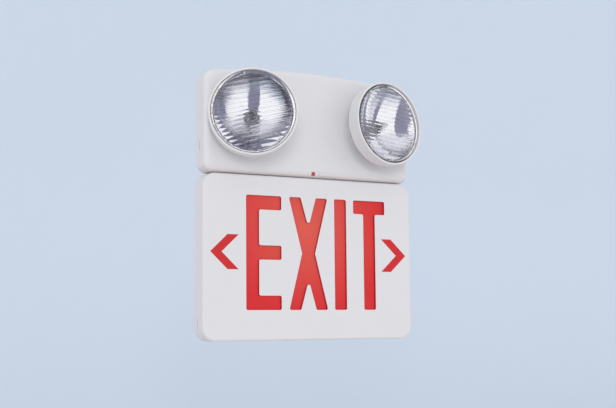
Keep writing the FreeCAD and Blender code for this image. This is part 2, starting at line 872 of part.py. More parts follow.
def board_parts():
    """The larger parts that stand on the charger board."""
    left = s.core_left - board_half
    right = left + s.core_width
    low = board_low + s.core_low
    high = low + s.core_height
    front = -(board_front + s.core_depth)
    core = box("transformer_core", (left, front, low), (right, -board_front, high))
    coil = box("transformer_coil", (left + s.coil_inset, front + s.coil_step, low - s.coil_inset),
               (right - s.coil_inset, -(board_front + s.coil_step), high + s.coil_inset))
    keep(join("transformer_parts", "Part::MultiFuse", core, coil), "transformer")

    right = board_half - s.relay_right
    low = board_low + s.relay_low
    keep(box("relay", (right - s.relay_width, -(board_front + s.relay_depth), low),
             (right, -board_front, low + s.relay_height)), "relay")
    place = (board_half - s.capacitor_right, -board_front, board_low + s.capacitor_low)
    keep(rod("capacitor", s.capacitor_radius, s.capacitor_length, place, Vector(0, -1, 0)), "capacitor")

    body = new_body("terminal_block")
    low = board_low + s.terminal_low
    left = s.terminal_left - board_half
    sketch = new_sketch(body, "XZ_Plane", board_front)
    rectangle(sketch, left, low, left + s.terminal_width * s.terminal_count, low + s.terminal_height)
    pad(body, sketch, s.terminal_depth)
    sketch = new_sketch(body, "XZ_Plane", board_front + s.terminal_depth)
    circle(sketch, left + s.terminal_width / 2, low + s.terminal_height / 2, s.terminal_well_radius)
    well = pocket(body, sketch, s.terminal_well)
    repeat(body, well, sketch, s.terminal_width, s.terminal_count)


# ---------------------------------------------------------------- indicator and test button

def edge_profile(sketch, depth):
    """Side view of a key whose front follows the cover's rounded edge, a little proud of it."""
    high = key_low + s.key_height
    radius = s.lamp_box_edge + s.key_proud
    centre = flat(-edge_centre_depth, edge_centre_height)
    back = -(s.case_depth - depth)

    def front(up):
        rise = up.value - centre.y
        return centre.x - math.sqrt(radius.value ** 2 - rise ** 2)

    low_front, high_front = front(key_low), front(high)
    low_angle = math.atan2(key_low.value - centre.y, low_front - centre.x)
    high_angle = math.atan2(high.value - centre.y, high_front - centre.x)
    edge = Part.Circle(centre, Vector(0, 0, 1), radius.value)
    sketch.addGeometry(Part.LineSegment(flat(back, key_low), Vector(low_front, key_low.value, 0)))
    sketch.addGeometry(Part.ArcOfCircle(edge, high_angle % (2 * math.pi), low_angle % (2 * math.pi)))
    sketch.addGeometry(Part.LineSegment(Vector(high_front, high.value, 0), flat(back, high)))
    sketch.addGeometry(Part.LineSegment(flat(back, high), flat(back, key_low)))
    for one, end, other, start in ((0, 2, 1, 2), (1, 1, 2, 1), (2, 2, 3, 1), (3, 2, 0, 1)):
        sketch.addConstraint(Sketcher.Constraint("Coincident", one, end, other, start))
    tie(sketch, 1, 3, -edge_centre_depth, edge_centre_height)
    constrain(sketch, radius, "Radius", 1)
    tie(sketch, 1, 2, up=key_low)
    tie(sketch, 1, 1, up=high)
    tie(sketch, 3, 1, back, high)
    tie(sketch, 3, 2, back, key_low)


def key_lens():
    body = new_body("indicator_lens")
    sketch = new_sketch(body, "YZ_Plane", s.indicator_left)
    edge_profile(sketch, s.indicator_depth)
    pad(body, sketch, s.indicator_width)

    middle = s.indicator_left + s.indicator_width / 2
    reach = s.case_depth - s.indicator_depth - board_front - s.fit_gap
    foot = (middle, -board_front, key_middle)
    stem = rod("indicator_led_stem", s.led_radius, reach, foot, Vector(0, -1, 0))
    skirt = rod("indicator_led_skirt", s.led_radius + s.led_skirt, s.led_skirt_height, foot, Vector(0, -1, 0))
    keep(join("indicator_led_parts", "Part::MultiFuse", stem, skirt), "indicator_led")


def test_button():
    body = new_body("test_button")
    sketch = new_sketch(body, "YZ_Plane", s.button_left)
    edge_profile(sketch, s.button_depth)
    pad(body, sketch, s.button_width)
    ear_front = s.case_depth - s.button_depth
    sketch = new_sketch(body, "XZ_Plane", ear_front)
    rectangle(sketch, s.button_left - s.button_ear, key_low,
              s.button_left + s.button_width + s.button_ear, key_low + s.key_height)
    pad(body, sketch, s.cover_wall / 2, reverse=True)

    middle = s.button_left + s.button_width / 2
    switch_front = board_front + s.switch_height
    body = new_body("test_switch")
    half = s.switch_side / 2
    sketch = new_sketch(body, "XZ_Plane", board_front)
    rectangle(sketch, middle - half, key_middle + s.plunger_radius - half,
              middle + half, key_middle + s.plunger_radius + half)
    pad(body, sketch, s.switch_height)
    sketch = new_sketch(body, "XZ_Plane", switch_front)
    circle(sketch, middle, key_middle, s.plunger_radius + s.fit_gap)
    pocket(body, sketch, s.switch_height - s.switch_floor)

    ear_back = ear_front - s.cover_wall / 2
    inner_end = board_front + s.switch_floor + s.button_travel + s.fit_gap
    keep(rod("switch_plunger", s.plunger_radius, ear_back - inner_end, (middle, -ear_back, key_middle),
             Vector(0, 1, 0)), "switch_plunger")


# ---------------------------------------------------------------- lamp heads, in the head's own frame

def lamp_housing(label):
    body = new_body(label)
    rear = s.rim_reach - s.drum_depth
    ledge = s.rim_reach - s.lens_recess - s.lens_thickness - s.bowl_flange
    cone_bore = s.cone_radius - s.cone_step
    sketch = new_sketch(body, "XZ_Plane")
    polygon(sketch, [
        (s.neck_bore, -s.neck_tail), (s.neck_radius, -s.neck_tail), (s.neck_radius, s.neck_reach),
        (s.cone_radius, s.cone_reach), (s.drum_radius, rear), (s.rim_radius, s.rim_reach),
        (s.rim_radius - s.lip, s.rim_reach), (s.rim_radius - s.lip, ledge), (s.drum_bore, ledge),
        (s.drum_bore, rear + s.head_wall - s.cone_step), (cone_bore, s.cone_reach + s.head_wall),
        (s.neck_bore, s.neck_reach + s.head_wall)])
    revolve(body, sketch)
    rim = s.rim_reach.value

    def rim_edge(edge):
        return abs(edge.BoundBox.ZMin - rim) < 1e-6

    def rear_edge(edge):
        return abs(edge.BoundBox.ZMin - rear.value) < 1e-6 and abs(edge.BoundBox.ZMax - rear.value) < 1e-6

    round_edges(body, s.lip_round, rim_edge)
    round_edges(body, s.rear_round, rear_edge)
    sketch = new_sketch(body, "YZ_Plane")
    circle(sketch, 0, 0, s.pin_radius + s.pin_running_fit)
    pocket(body, sketch, symmetric=True)


def three_point_arc(sketch, index, start, middle, end):
    """Add an arc through three tied points of the sketch, as geometry number index."""
    sketch.addGeometry(Part.Arc(flat(*start), flat(*middle), flat(*end)))
    waypoint = sketch.addGeometry(Part.Point(flat(*middle)), True)
    tie(sketch, waypoint, 1, *middle)
    sketch.addConstraint(Sketcher.Constraint("PointOnObject", waypoint, 1, index))


def reflector(label):
    body = new_body(label)
    face = s.rim_reach - s.lens_recess - s.lens_thickness
    back = face - s.bowl_flange
    outer = s.rim_radius - s.lip - s.head_gap
    inside = [(s.bowl_hole, s.bowl_floor), (s.bowl_waist, s.bowl_waist_reach), (s.bowl_mouth, face)]
    behind = [(s.bowl_mouth + s.bowl_wall, back),
              (s.bowl_waist + s.bowl_wall / 2, s.bowl_waist_reach - s.bowl_wall),
              (s.bowl_hole, s.bowl_floor - s.bowl_wall)]
    sketch = new_sketch(body, "XZ_Plane")
    three_point_arc(sketch, 0, *inside)
    three_point_arc(sketch, 2, *behind)
    straight = [(inside[2], (outer, face)), ((outer, face), (outer, back)), ((outer, back), behind[0]),
                (behind[2], inside[0])]
    for start, end in straight:
        sketch.addGeometry(Part.LineSegment(flat(*start), flat(*end)))
    for geometry, point, place in ((4, 1, inside[2]), (4, 2, (outer, face)), (5, 2, (outer, back)),
                                   (6, 2, behind[0]), (7, 1, behind[2]), (7, 2, inside[0])):
        tie(sketch, geometry, point, *place)
    ends = nearest_ends(sketch, inside[0], behind[0])
    for one, end, other, start in ends + [(4, 2, 5, 1), (5, 2, 6, 1)]:
        sketch.addConstraint(Sketcher.Constraint("Coincident", one, end, other, start))
    revolve(body, sketch)


def nearest_ends(sketch, inside_start, behind_start):
    """Pair the two arcs' ends with the straight lines, whichever way round the arcs were stored."""
    pairs = []
    for arc, first, last, start in ((0, (7, 2), (4, 1), inside_start), (2, (6, 2), (7, 1), behind_start)):
        begins = (sketch.getPoint(arc, 1) - flat(*start)).Length < 1e-6
        near, far = (1, 2) if begins else (2, 1)
        pairs += [(arc, near, *first), (arc, far, *last)]
    return pairs


def lens(label):
    body = new_body(label)
    front = s.rim_reach - s.lens_recess
    back = front - s.lens_thickness
    outer = s.rim_radius - s.lip - s.head_gap
    sketch = new_sketch(body, "XZ_Plane")
    polygon(sketch, [(0, back - s.flute_land), (s.flute_field, back - s.flute_land), (s.flute_field, back),
                     (outer, back), (outer, front), (0, front)])
    revolve(body, sketch)

    dome_radius = (s.lens_window * s.lens_window + s.lens_dome * s.lens_dome) / (s.lens_dome * 2)
    centre = front + s.lens_dome - dome_radius
    reach = math.asin((s.lens_window / dome_radius).value)
    sketch = new_sketch(body, "XZ_Plane")
    dome = Part.Circle(flat(0, centre), Vector(0, 0, 1), dome_radius.value)
    sketch.addGeometry(Part.ArcOfCircle(dome, math.pi / 2 - reach, math.pi / 2))
    sketch.addGeometry(Part.LineSegment(flat(0, front + s.lens_dome), flat(0, back)))
    sketch.addGeometry(Part.LineSegment(flat(0, back), flat(s.lens_window, back)))
    sketch.addGeometry(Part.LineSegment(flat(s.lens_window, back), flat(s.lens_window, front)))
    for one, end, other, start in ((0, 2, 1, 1), (1, 2, 2, 1), (2, 2, 3, 1), (3, 2, 0, 1)):
        sketch.addConstraint(Sketcher.Constraint("Coincident", one, end, other, start))
    tie(sketch, 0, 3, 0, centre)
    constrain(sketch, dome_radius, "Radius", 0)
    tie(sketch, 0, 2, across=0)
    tie(sketch, 1, 2, 0, back)
    tie(sketch, 2, 2, s.lens_window, back)
    tie(sketch, 3, 2, across=s.lens_window)
    revolve(body, sketch)

    # a raised key on the flange at each end of the line across the flutes
    half = s.lens_key_width / 2
    end = outer - s.lens_key_height
    sketch = new_sketch(body, "XY_Plane", front)
    rectangle(sketch, -half, s.flute_field, half, end)
    rectangle(sketch, -half, -end, half, -s.flute_field)
    pad(body, sketch, s.lens_key_height)

    # hollow flutes across the back of the lens
    half = (s.flute_spacing - s.flute_ridge) / 2
    floor = back - s.flute_land
    radius = (half * half + s.flute_depth * s.flute_depth) / (s.flute_depth * 2)
    first = -(s.flute_spacing * (s.flute_count - 1)) / 2
    hub = floor + s.flute_depth - radius
    spread = math.asin((half / radius).value)
    sketch = new_sketch(body, "YZ_Plane")
    flute = Part.Circle(flat(first, hub), Vector(0, 0, 1), radius.value)
    sketch.addGeometry(Part.ArcOfCircle(flute, math.pi / 2 - spread, math.pi / 2 + spread))
    sketch.addGeometry(Part.LineSegment(flat(first - half, floor), flat(first + half, floor)))
    for one, end, other, start in ((0, 2, 1, 1), (1, 2, 0, 1)):
        sketch.addConstraint(Sketcher.Constraint("Coincident", one, end, other, start))
    tie(sketch, 0, 3, first, hub)
    constrain(sketch, radius, "Radius", 0)
    tie(sketch, 1, 1, across=first - half)
    tie(sketch, 1, 2, across=first + half)
    groove = pocket(body, sketch, symmetric=True)
    repeat(body, groove, sketch, s.flute_spacing, s.flute_count)


def lamp_holder(label):
    body = new_body(label)
    shoulder = s.neck_reach + s.head_wall + s.fit_gap * 2
    barrel = s.bowl_hole - s.fit_gap
    sketch = new_sketch(body, "XZ_Plane")
    polygon(sketch, [(0, s.holder_back), (s.holder_tail, s.holder_back), (s.holder_tail, shoulder),
                     (barrel, shoulder), (barrel, s.holder_front), (0, s.holder_front)])
    revolve(body, sketch)
    sketch = new_sketch(body, "XY_Plane", s.holder_front)
    width = s.bulb_base_width / 2 + s.fit_gap
    thickness = s.bulb_base_thickness / 2 + s.fit_gap
    rectangle(sketch, -width, -thickness, width, thickness)
    pocket(body, sketch, s.bulb_base_depth + s.fit_gap)


def bulb(label):
    body = new_body(label)
    seat = s.holder_front + s.fit_gap
    tip = seat + s.bulb_length
    shoulder = tip - s.bulb_radius
    sketch = new_sketch(body, "XZ_Plane")
    arc = Part.Circle(flat(0, shoulder), Vector(0, 0, 1), s.bulb_radius.value)
    sketch.addGeometry(Part.LineSegment(flat(0, seat), flat(s.bulb_radius, seat)))
    sketch.addGeometry(Part.LineSegment(flat(s.bulb_radius, seat), flat(s.bulb_radius, shoulder)))
    sketch.addGeometry(Part.ArcOfCircle(arc, 0, math.pi / 2))
    sketch.addGeometry(Part.LineSegment(flat(0, tip), flat(0, seat)))
    for one, end, other, start in ((0, 2, 1, 1), (1, 2, 2, 1), (2, 2, 3, 1), (3, 2, 0, 1)):
        sketch.addConstraint(Sketcher.Constraint("Coincident", one, end, other, start))
    tie(sketch, 0, 1, 0, seat)
    tie(sketch, 1, 1, s.bulb_radius, seat)
    tie(sketch, 1, 2, s.bulb_radius, shoulder)
    tie(sketch, 2, 3, 0, shoulder)
    tie(sketch, 2, 2, across=0)
    revolve(body, sketch)
    sketch = new_sketch(body, "XY_Plane", seat)
    width = s.bulb_base_width / 2
    thickness = s.bulb_base_thickness / 2
    rectangle(sketch, -width, -thickness, width, thickness)
    pad(body, sketch, s.bulb_base_depth, reverse=True)


def swivel_collar(label):
    body = new_body(label)
    barrel = s.collar_hole - s.fit_gap
    face = s.collar_lift + s.collar_face
    groove_top = -(s.cover_wall + s.fit_gap)
    groove_low = groove_top - s.clip_thickness - s.fit_gap
    groove = barrel - s.groove_depth
    sketch = new_sketch(body, "XZ_Plane")
    polygon(sketch, [
        (s.collar_bore, -s.collar_depth), (barrel, -s.collar_depth), (barrel, groove_low),
        (groove, groove_low), (groove, groove_top), (barrel, groove_top), (barrel, s.collar_lift),
        (s.collar_flange, s.collar_lift), (s.collar_flange, face - s.collar_face / 2),
        (s.collar_flange - s.collar_face / 2, face), (s.collar_bore, face)])
    revolve(body, sketch)

    # two ears that carry the tilt pin
    for side in (-1, 1):
        sketch = new_sketch(body, "YZ_Plane", (s.neck_radius + s.ear_gap) * side)
        rectangle(sketch, -s.ear_radius, -s.collar_depth, s.ear_radius, 0)
        length = s.collar_bore - s.neck_radius
        pad(body, sketch, length, reverse=side < 0)
        sketch = new_sketch(body, "YZ_Plane", (s.neck_radius + s.ear_gap) * side)
        circle(sketch, 0, 0, s.ear_radius)
        pad(body, sketch, length, reverse=side < 0)
    sketch = new_sketch(body, "YZ_Plane")
    circle(sketch, 0, 0, s.pin_radius + s.pin_press_fit)
    pocket(body, sketch, symmetric=True)


def collar_clip(label):
    body = new_body(label)
    high = -(s.cover_wall + s.fit_gap + s.fit_gap / 2)
    inner = s.collar_hole - s.fit_gap - s.groove_depth + s.pin_running_fit
    sketch = new_sketch(body, "XZ_Plane")
    rectangle(sketch, inner, high - s.clip_thickness, s.clip_radius, high)
    revolve(body, sketch)
    sketch = new_sketch(body, "XY_Plane", high)
    half = s.clip_opening / 2
    rectangle(sketch, -half, 0, half, s.clip_radius + s.fit_gap)
    pocket(body, sketch, s.clip_thickness)


def tilt_pin(label):
    body = new_body(label)
    sketch = new_sketch(body, "YZ_Plane")
    circle(sketch, 0, 0, s.pin_radius)
    pad(body, sketch, s.pin_length, symmetric=True)


HOME = Rotation(Vector(0, 0, 1), Vector(-1, 0, 0), Vector(0, -1, 0), "XYZ")


def place_head(side, swivel, tilt, turn):
    """Move one lamp head's pieces from their own frame to the cover, in the way the head stands."""
    pivot = Vector(side * pivot_across.value, -s.case_depth.value, pivot_height.value)
    turned = Rotation(Vector(0, -1, 0), swivel.value) * HOME
    tilted = turned * Rotation(Vector(1, 0, 0), tilt.value)
    rolled = tilted * Rotation(Vector(0, 0, 1), 90 + turn.value)
    return {"collar": Placement(pivot, turned), "head": Placement(pivot, tilted),
            "lens": Placement(pivot, rolled)}


def lamp_heads():
    stands = (("left", -1, s.left_swivel_angle, s.left_tilt_angle, s.left_lens_angle),
              ("right", 1, s.right_swivel_angle, s.right_tilt_angle, s.right_lens_angle))
    for name, side, swivel, tilt, turn in stands:
        place = place_head(side, swivel, tilt, turn)
        for make, frame in ((swivel_collar, "collar"), (collar_clip, "collar"), (tilt_pin, "collar"),
                            (lamp_housing, "head"), (reflector, "head"), (lamp_holder, "head"),
                            (bulb, "head"), (lens, "lens")):
            make(f"{make.__name__}_{name}")
            move(PIECES[-1], place[frame], side)


def move(piece, place, side):
    """Put a piece on its pivot, with the pivot's place held by the sheet."""
    piece.Placement = place
    bind(piece, "Placement.Base.x", pivot_across * side)
    bind(piece, "Placement.Base.y", -s.case_depth)
    bind(piece, "Placement.Base.z", pivot_height)


def export_pieces():
    DOC.recompute()
    broken = [item.Label for item in DOC.Objects if {"Invalid", "Error"} & set(item.State)]
    for piece in PIECES:
        if piece.Shape.isNull() or not piece.Shape.isValid() or not piece.Shape.Solids:
            broken.append(piece.Label)
    if broken:
        raise RuntimeError(f"these did not come out: {broken}")
    os.makedirs("parts", exist_ok=True)
    for piece in PIECES:
        piece.Shape.exportStep(f"parts/{piece.Label}.step")


def main():
    back_plate()
    lamp_cover()
    sign_cover()
    red_panel()
    chevron_inserts()
    light_strips()
    battery()
    screws("strap_screws", strap_screw_places(), board_back + s.strap_thickness)
    charger_board()
    screws("board_screws", board_screw_places(), board_front)
    board_parts()
    key_lens()
    test_button()
    lamp_heads()
    export_pieces()


main()
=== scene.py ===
import json
import math

import bmesh
import bpy
from bpy.props import FloatProperty, FloatVectorProperty, IntProperty, PointerProperty
from mathutils import Matrix, Vector


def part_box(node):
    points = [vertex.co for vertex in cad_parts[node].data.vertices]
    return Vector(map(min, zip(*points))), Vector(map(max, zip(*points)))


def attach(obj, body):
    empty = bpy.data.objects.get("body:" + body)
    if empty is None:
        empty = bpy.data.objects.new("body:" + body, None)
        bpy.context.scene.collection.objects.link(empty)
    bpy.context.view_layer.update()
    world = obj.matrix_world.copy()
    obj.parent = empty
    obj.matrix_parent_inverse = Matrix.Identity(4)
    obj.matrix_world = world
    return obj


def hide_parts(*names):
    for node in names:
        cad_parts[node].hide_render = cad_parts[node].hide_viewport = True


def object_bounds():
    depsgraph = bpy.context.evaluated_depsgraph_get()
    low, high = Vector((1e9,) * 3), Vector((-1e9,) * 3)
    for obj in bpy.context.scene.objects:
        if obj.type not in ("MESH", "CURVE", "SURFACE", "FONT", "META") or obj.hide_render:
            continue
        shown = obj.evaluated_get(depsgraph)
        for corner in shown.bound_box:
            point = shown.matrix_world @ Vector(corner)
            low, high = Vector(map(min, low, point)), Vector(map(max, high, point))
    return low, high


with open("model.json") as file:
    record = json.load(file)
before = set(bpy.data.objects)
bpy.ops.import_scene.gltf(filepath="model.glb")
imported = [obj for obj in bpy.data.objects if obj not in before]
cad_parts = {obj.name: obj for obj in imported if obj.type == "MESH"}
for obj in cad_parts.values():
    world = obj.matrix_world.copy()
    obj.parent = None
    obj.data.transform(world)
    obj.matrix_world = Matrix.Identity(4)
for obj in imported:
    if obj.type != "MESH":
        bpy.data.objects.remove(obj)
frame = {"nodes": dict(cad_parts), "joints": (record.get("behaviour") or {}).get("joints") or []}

# Finishes, lamp glass and studio for an emergency exit light: a stencil sign under an arched lamp
# box with two swivelling lamp heads. Metres; X to the right, Y into the wall and Z up.

bl_info = {
    "name": "Exit Light Finish",
    "version": (1, 0, 0),
    "blender": (4, 5, 0),
    "location": "3D View > Sidebar > Exit Light",
    "description": "Models the lamp glass of an emergency exit light and gives every piece its finish",
    "category": "Object",
}

CAD_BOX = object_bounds()
SIDES = ("left", "right")
JOINTS = {joint["name"]: joint for joint in frame["joints"]}
MM = 0.001

# Lamp heads
DRUM_BEHIND_LENS = 21.3 * MM     # from a lens's highest point back to the drum's rear edge
# width of the painted shade line round a drum's rear edge
REAR_SHADE_WIDTH = 1.1 * MM
LENS_EDGE_ROUND = 0.3 * MM
SHARP_EDGE = math.radians(50)    # edges that turn further than this stay sharp
PHASE_START = 100.5              # keeps the ribs' count positive, so that 0 marks the faces without ribs
FROSTED = 1                      # material of a lens's keys; its other faces have material 0
GLASS, METAL, CAVITY = range(3)  # materials of a bulb's faces while it is modelled

# Covers
SEAM_SHADE_HEIGHT = 11 * MM       # how far the painted shade and painted red reflection climb up the lamp box
LEGEND_MARGIN = 12 * MM          # outer stretch of the sign that holds no letter
GLOW_OFFSET = Vector((-12, 0, 45)) * MM   # from the red panel's centre to the glow's
GLOW_REACH = Vector((130, 50, 120)) * MM

# Studio: the mirrored room's panels have their left and right ends in degrees from the wall's normal,
# and their low and high ends as sines of the elevation.
ROOM_PANELS = (
    (-90, -34, -0.65, 0.5, "Softbox"),
    (-34, -5, -0.9, 0.6, "Gap"),
    (-41, -30, -0.9, 0.15, "Gap"),
    (-5, 46, -0.65, 0.5, "Softbox"),
    (46, 60, -0.6, 0.6, "Gap"),
)
SENSOR_WIDTH = 36  # millimetres, as cameras count it


# ---------------------------------------------------------------- settings

class ExitLightColours(bpy.types.PropertyGroup):
    cover: FloatVectorProperty(
        name="Covers", description="Moulded plastic of the covers and lamp heads",
        subtype="COLOR", size=3, min=0, max=1, default=(0.745, 0.742, 0.765))
    # Painted shade and painted red reflection, darkening and warming the lamp box and test button towards the
    # sign
    painted_seam_shade: FloatVectorProperty(
        name="Underside", description="Warmer tone of the lamp box next to the sign",
        subtype="COLOR", size=3, min=0, max=1, default=(0.66, 0.575, 0.565))
    # Painted shade: the thin dark line round the rear edge of each lamp head's drum
    rear_edge_shade: FloatVectorProperty(
        name="Parting line", description="Line round the rear edge of a lamp head's drum",
        subtype="COLOR", size=3, min=0, max=1, default=(0.36, 0.30, 0.31))
    plate: FloatVectorProperty(
        name="Back plate", description="Plainer plastic of the back plate",
        subtype="COLOR", size=3, min=0, max=1, default=(0.70, 0.70, 0.70))
    legend: FloatVectorProperty(
        name="Legend", description="Red panel behind the letter windows",
        subtype="COLOR", size=3, min=0, max=1, default=(0.60, 0.009, 0.013))
    legend_pale: FloatVectorProperty(
        name="Legend, lit part", description="Paler red where the light strips shine through the panel",
        subtype="COLOR", size=3, min=0, max=1, default=(0.64, 0.085, 0.060))
    # Painted light and shade: the red panel's glow on the cut walls of the letter windows
    painted_window_glow: FloatVectorProperty(
        name="Window walls", description="Cut walls of the letter windows, stained by the panel",
        subtype="COLOR", size=3, min=0, max=1, default=(0.36, 0.010, 0.012))
    chevron: FloatVectorProperty(
        name="Chevrons", description="Red inserts at both ends of the legend",
        subtype="COLOR", size=3, min=0, max=1, default=(0.60, 0.012, 0.016))
    indicator: FloatVectorProperty(
        name="Indicator", description="Charge indicator under the lamp box",
        subtype="COLOR", size=3, min=0, max=1, default=(0.42, 0.008, 0.022))


class ExitLightGlass(bpy.types.PropertyGroup):
    rib_spacing: FloatProperty(
        name="Rib spacing", description="Distance between the ribs of a lens", unit="LENGTH",
        min=1 * MM, max=20 * MM, default=5.9 * MM)
    rib_depth: FloatProperty(
        name="Rib depth", description="Height of a rib above its valleys", unit="LENGTH",
        min=0, max=3 * MM, default=0.5 * MM)
    rib_field: FloatProperty(
        name="Ribbed radius", description="Radius of the ribbed field", unit="LENGTH",
        min=10 * MM, max=60 * MM, default=51.1 * MM)
    flange_thickness: FloatProperty(
        name="Flange thickness", description="Plain ring round the ribbed field", unit="LENGTH",
        min=0.5 * MM, max=5 * MM, default=2 * MM)
    flange_fall: FloatProperty(
        name="Flange fall", description="Slope of the plain ring's front towards its edge", unit="LENGTH",
        min=0, max=1.8 * MM, default=1.2 * MM)
    key_width: FloatProperty(
        name="Key width", description="Width of the two keys on the flange", unit="LENGTH",
        min=1 * MM, max=10 * MM, default=4.5 * MM)
    key_height: FloatProperty(
        name="Key height", description="Height of the two keys over the flange", unit="LENGTH",
        min=0.2 * MM, max=3 * MM, default=1 * MM)
    dome: FloatProperty(
        name="Dome", description="Rise of the lens's front over its flange", unit="LENGTH",
        min=0, max=10 * MM, default=2.3 * MM)
    left_turn: FloatProperty(
        name="Left lens turn", description="How far the left lens is turned in its rim",
        subtype="ANGLE", default=math.radians(21))
    right_turn: FloatProperty(
        name="Right lens turn", description="How far the right lens is turned in its rim",
        subtype="ANGLE", default=math.radians(-30))
    rows: IntProperty(
        name="Rows", description="Mesh rows across the ribs", min=40, max=400, default=240)
    columns: IntProperty(
        name="Columns", description="Mesh columns along the ribs", min=10, max=200, default=64)


class ExitLightStudio(bpy.types.PropertyGroup):
    camera_place: FloatVectorProperty(
        name="Camera", description="Where the camera stands", subtype="XYZ", unit="LENGTH", size=3,
        default=(-0.71341, -1.30860, -0.08638))
    yaw: FloatProperty(
        name="Yaw", description="Camera's turn to the right of the wall's normal", subtype="ANGLE",
        default=0.504522)
    pitch: FloatProperty(
        name="Pitch", description="Camera's upward tilt", subtype="ANGLE", default=0.109399)
    roll: FloatProperty(
        name="Roll", description="Camera's roll about its own axis", subtype="ANGLE", default=-0.008843)
    focal_length: FloatProperty(
        name="Focal length", description="Camera lens in millimetres, on a 36 mm sensor",
        min=10, max=300, default=63.0)
    backdrop: FloatVectorProperty(
        name="Backdrop", description="Floor and backdrop", subtype="COLOR", size=3, min=0, max=1,
        default=(0.62, 0.71, 0.82))
    bounce: FloatVectorProperty(
        name="Bounce", description="Tone of the light that the floor and backdrop throw back",
        subtype="COLOR", size=3, min=0, max=1, default=(0.84, 0.83, 0.83))
    floor_drop: FloatProperty(
        name="Floor", description="Floor below the light's lowest point", unit="LENGTH",
        min=0, max=3, default=0.45)
    backdrop_distance: FloatProperty(
        name="Backdrop distance", description="Backdrop behind the light", unit="LENGTH",
        min=1, max=10, default=2.8)
    world_strength: FloatProperty(
        name="Room light", description="Even light from all round", min=0, max=3, default=0.78)
    front_strength: FloatProperty(
        name="Front light", description="Soft light from beside the camera", min=0, max=10, default=0.76)
    softbox: FloatVectorProperty(
        name="Softboxes", description="Softboxes on both sides of the camera, in mirrored parts",
        subtype="COLOR", size=3, min=0, max=2, default=(1.22, 1.21, 1.21))
    gap: FloatVectorProperty(
        name="Dark gap", description="Dark room between the softboxes, in mirrored parts",
        subtype="COLOR", size=3, min=0, max=2, default=(0.27, 0.27, 0.36))
    walls: FloatVectorProperty(
        name="Walls", description="The rest of the room, in mirrored parts",
        subtype="COLOR", size=3, min=0, max=2, default=(0.95, 0.95, 1.0))


# ---------------------------------------------------------------- mesh helpers

def add_piece(name, bm, body, *replaced, slot=None):
    """Make a mesh object of a bmesh, let it ride on a body and stand for the CAD nodes it replaces."""
    mesh = bpy.data.meshes.new(name)
    bm.to_mesh(mesh)
    bm.free()
    piece = bpy.data.objects.new(name, mesh)
    bpy.context.scene.collection.objects.link(piece)
    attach(piece, body)
    if replaced:
        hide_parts(*replaced)
    return piece


def paint(piece, material):
    """Give an object one material."""
    piece.data.materials.clear()
    piece.data.materials.append(material)


def head_matrix(side):
    """A lamp head's own frame: the pin along X, the beam along Z and the pivot at the origin.
    A tilt joint's range is centred on the head standing square to the wall."""
    joint = JOINTS[f"tilt_{side}"]
    pin = Vector(joint["axis"]).normalized()
    tilt = -math.radians(sum(joint["range_deg"]) / 2)
    beam = Matrix.Rotation(tilt, 3, pin) @ Vector((0, -1, 0))
    across = beam.cross(pin)
    turn = Matrix((pin, across, beam)).transposed().to_4x4()
    return Matrix.Translation(Vector(joint["pos_m"])) @ turn


def extent(node, side):
    """(radius, lowest, highest) of a round CAD node about its head's beam axis."""
    inverse = head_matrix(side).inverted()
    places = [inverse @ vertex.co for vertex in frame["nodes"][node].data.vertices]
    radius = max(math.hypot(place.x, place.y) for place in places)
    return radius, min(place.z for place in places), max(place.z for place in places)


# ---------------------------------------------------------------- lenses

def rib_height(across, glass):
    """Height of the lens's hollow back at a distance across the ribs, from their sharp ridges."""
    share = across / glass.rib_spacing + 0.5
    offset = 2 * (share - math.floor(share)) - 1
    return glass.rib_depth * (1 - offset * offset)


def disc(bm, radius, rows, columns):
    """A disc whose rows run straight across it, as one chord each."""
    made = bmesh.ops.create_grid(bm, x_segments=columns, y_segments=rows, size=radius)
    for vertex in made["verts"]:
        angle = vertex.co.y / radius * math.pi / 2
        vertex.co.y = radius * math.sin(angle)
        vertex.co.x *= math.cos(angle)
    bmesh.ops.remove_doubles(bm, verts=made["verts"], dist=1e-7)
    return [vertex for vertex in made["verts"] if vertex.is_valid]


def edges_of(vertices):
    """Every edge that meets one of the vertices, once."""
    return list({edge for vertex in vertices for edge in vertex.link_edges})


def step_out(bm, edges, radius, height):
    """Extrude a round rim, and move the new rim to a radius and a height."""
    made = bmesh.ops.extrude_edge_only(bm, edges=edges)["geom"]
    for vertex in (item for item in made if isinstance(item, bmesh.types.BMVert)):
        flat = vertex.co.xy.normalized() * radius
        vertex.co = (flat.x, flat.y, height)
    return [item for item in made if isinstance(item, bmesh.types.BMEdge) and item.is_boundary]


def add_block(bm, middle, size, round_off, material):
    """A block with rounded edges."""
    made = bmesh.ops.create_cube(bm, size=1, matrix=Matrix.Translation(middle) @ Matrix.Diagonal((*size, 1)))
    edges = edges_of(made["verts"])
    for face in {face for edge in edges for face in edge.link_faces}:
        face.material_index = material
    bmesh.ops.bevel(bm, geom=edges, offset=round_off, segments=2, profile=0.5, affect="EDGES", material=-1)


